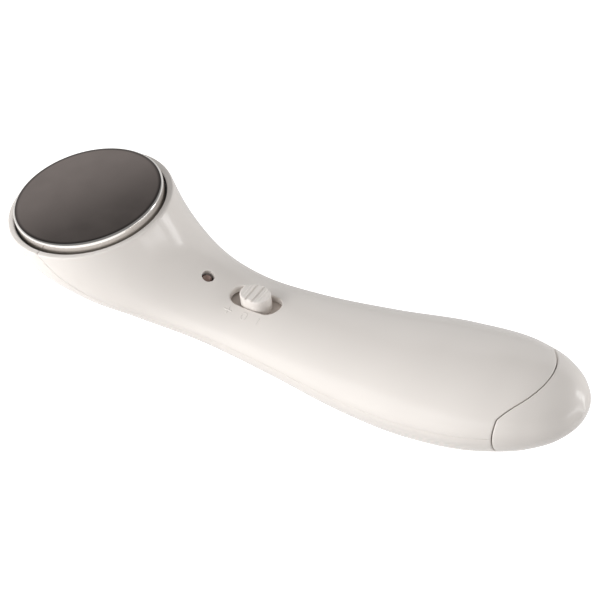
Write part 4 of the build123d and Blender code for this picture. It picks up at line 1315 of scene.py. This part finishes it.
class APPLICATOR_OT_stage(bpy.types.Operator):
    """Sets the camera, the floor, the even sky and the soft lights."""

    bl_idname = "applicator.stage"
    bl_label = "Stage"

    def execute(self, context):
        scene, settings = context.scene, context.scene.applicator_stage
        scene.view_settings.view_transform = "Standard"
        camera_data = bpy.data.cameras.new("camera")
        camera = bpy.data.objects.new("camera", camera_data)
        scene.collection.objects.link(camera)
        az, el, roll = settings.azimuth, settings.elevation, settings.roll
        back = Vector((math.sin(az) * math.cos(el), -math.cos(az) * math.cos(el), math.sin(el)))
        level = Vector((math.cos(az), math.sin(az), 0.0))
        upright = back.cross(level)
        right = level * math.cos(roll) + upright * math.sin(roll)
        up = back.cross(right)
        aim = Vector((head_x + camera_aim[0], 0.0, camera_aim[1])) * MM
        turn = Matrix((right, up, back)).transposed().to_4x4()
        camera.matrix_world = Matrix.Translation(aim + back * settings.distance) @ turn
        camera_data.lens = settings.lens
        camera_data.sensor_width = 36.0
        camera_data.shift_x, camera_data.shift_y = camera_shift
        camera_data.clip_end = 20.0
        scene.camera = camera
        self.sky(scene, settings)
        self.floor(scene)
        for name in lights:
            self.soft_light(scene, name, getattr(settings, name))
        return {"FINISHED"}

    def sky(self, scene, settings):
        """Even light on dull surfaces, and a white studio with a grey ceiling in glossy ones."""
        world = bpy.data.worlds.new("sky")
        scene.world = world
        world.use_nodes = True
        tree = world.node_tree
        tree.nodes.clear()
        path = node(tree, "LightPath").outputs
        way = node(tree, "TexCoord").outputs["Generated"]
        low, high = (math.sin(math.radians(angle)) for angle in ceiling_edge)
        studio = node(tree, "MapRange", {
            "Value": node(tree, "SeparateXYZ", {"Vector": way}).outputs["Z"],
            "From Min": low, "From Max": high, "To Min": 1.0, "To Max": settings.ceiling,
        }).outputs["Result"]
        above = node(tree, "VectorMath", {0: way, 1: sky_lean}, operation="DOT_PRODUCT")
        inputs = {
            "Value": above.outputs["Value"], "From Min": -1.0, "To Max": 2 * settings.sky,
        }
        strength = node(tree, "MapRange", inputs).outputs["Result"]
        for ray, shown in (("Glossy", studio), ("Transmission", studio), ("Camera", 1.0)):
            inputs = {"Factor": path[f"Is {ray} Ray"], "A": strength, "B": shown}
            strength = node(tree, "Mix", inputs).outputs["Result"]
        background = node(tree, "Background", {"Strength": strength})
        node(tree, "OutputWorld", {"Surface": background.outputs["Background"]})

    def floor(self, scene):
        """White floor that still takes the object's shadow."""
        data = bpy.data.meshes.new("floor")
        corners = ((-1, -1), (1, -1), (1, 1), (-1, 1))
        points = [(x * floor_half, y * floor_half, floor_level) for x, y in corners]
        data.from_pydata(points, [], [(0, 1, 2, 3)])
        floor = bpy.data.objects.new("floor", data)
        scene.collection.objects.link(floor)
        finish = Finish("floor_paper", Roughness=0.9)
        finish.colour(finish.mix(finish.noise(40.0), *floor_tints))
        path = finish.node("LightPath").outputs
        rays = {0: path["Is Glossy Ray"], 1: path["Is Transmission Ray"]}
        mirrored = finish.node("Math", rays, operation="MAXIMUM").outputs[0]
        beyond = finish.spread(finish.part("Y"), near_glow, far_glow, glow_from, glow_to)
        dim = finish.node("Math", {0: mirrored, 1: beyond}, operation="MULTIPLY").outputs[0]
        inputs = {"Factor": path["Is Camera Ray"], "A": dim, "B": floor_glow}
        strength = finish.node("Mix", inputs).outputs["Result"]
        glow = finish.node("Emission", {"Strength": strength}).outputs["Emission"]
        both = finish.node("AddShader", {0: finish.shader.outputs["BSDF"], 1: glow})
        finish.tree.links.new(both.outputs["Shader"], finish.output.inputs["Surface"])
        data.materials.append(finish.material)

    def soft_light(self, scene, name, power):
        """Area light that looks at the object's middle."""
        around, height, size, distance, tilt, mirrored = lights[name]
        data = bpy.data.lights.new(name + "_light", "AREA")
        data.shape = "RECTANGLE"
        data.size, data.size_y = size
        data.energy = power
        light = bpy.data.objects.new(data.name, data)
        az, el = math.radians(around), math.radians(height)
        way = Vector((math.cos(el) * math.cos(az), math.cos(el) * math.sin(az), math.sin(el)))
        light.location = way * distance + Vector((0.0, 0.0, light_aim))
        turn = way.to_track_quat("Z", "Y") @ Quaternion((0.0, 0.0, 1.0), math.radians(tilt))
        light.rotation_euler = turn.to_euler()
        light.visible_glossy = mirrored
        scene.collection.objects.link(light)


class APPLICATOR_PT_panel(bpy.types.Panel):
    """Lists the operators in the sidebar."""

    bl_idname = "APPLICATOR_PT_panel"
    bl_label = "Cream applicator"
    bl_space_type = "VIEW_3D"
    bl_region_type = "UI"
    bl_category = "Applicator"

    def draw(self, context):
        for step in steps:
            self.layout.operator(step.bl_idname)


steps = (
    APPLICATOR_OT_housing, APPLICATOR_OT_cover, APPLICATOR_OT_plate, APPLICATOR_OT_knob,
    APPLICATOR_OT_lamp, APPLICATOR_OT_marks, APPLICATOR_OT_inside, APPLICATOR_OT_stage,
)
groups = (
    ("applicator_housing", HousingSettings), ("applicator_plate", PlateSettings),
    ("applicator_stage", StageSettings),
)


def register():
    """Registers the settings, the operators and the panel."""
    for name, group in groups:
        bpy.utils.register_class(group)
        setattr(bpy.types.Scene, name, bpy.props.PointerProperty(type=group))
    for item in (*steps, APPLICATOR_PT_panel):
        bpy.utils.register_class(item)


def unregister():
    """Takes them away again."""
    for item in (APPLICATOR_PT_panel, *reversed(steps)):
        bpy.utils.unregister_class(item)
    for name, group in reversed(groups):
        delattr(bpy.types.Scene, name)
        bpy.utils.unregister_class(group)


def main():
    """Builds everything."""
    register()
    for step in steps:
        area, name = step.bl_idname.split(".")
        getattr(getattr(bpy.ops, area), name)()


if __name__ == "__main__":
    main()
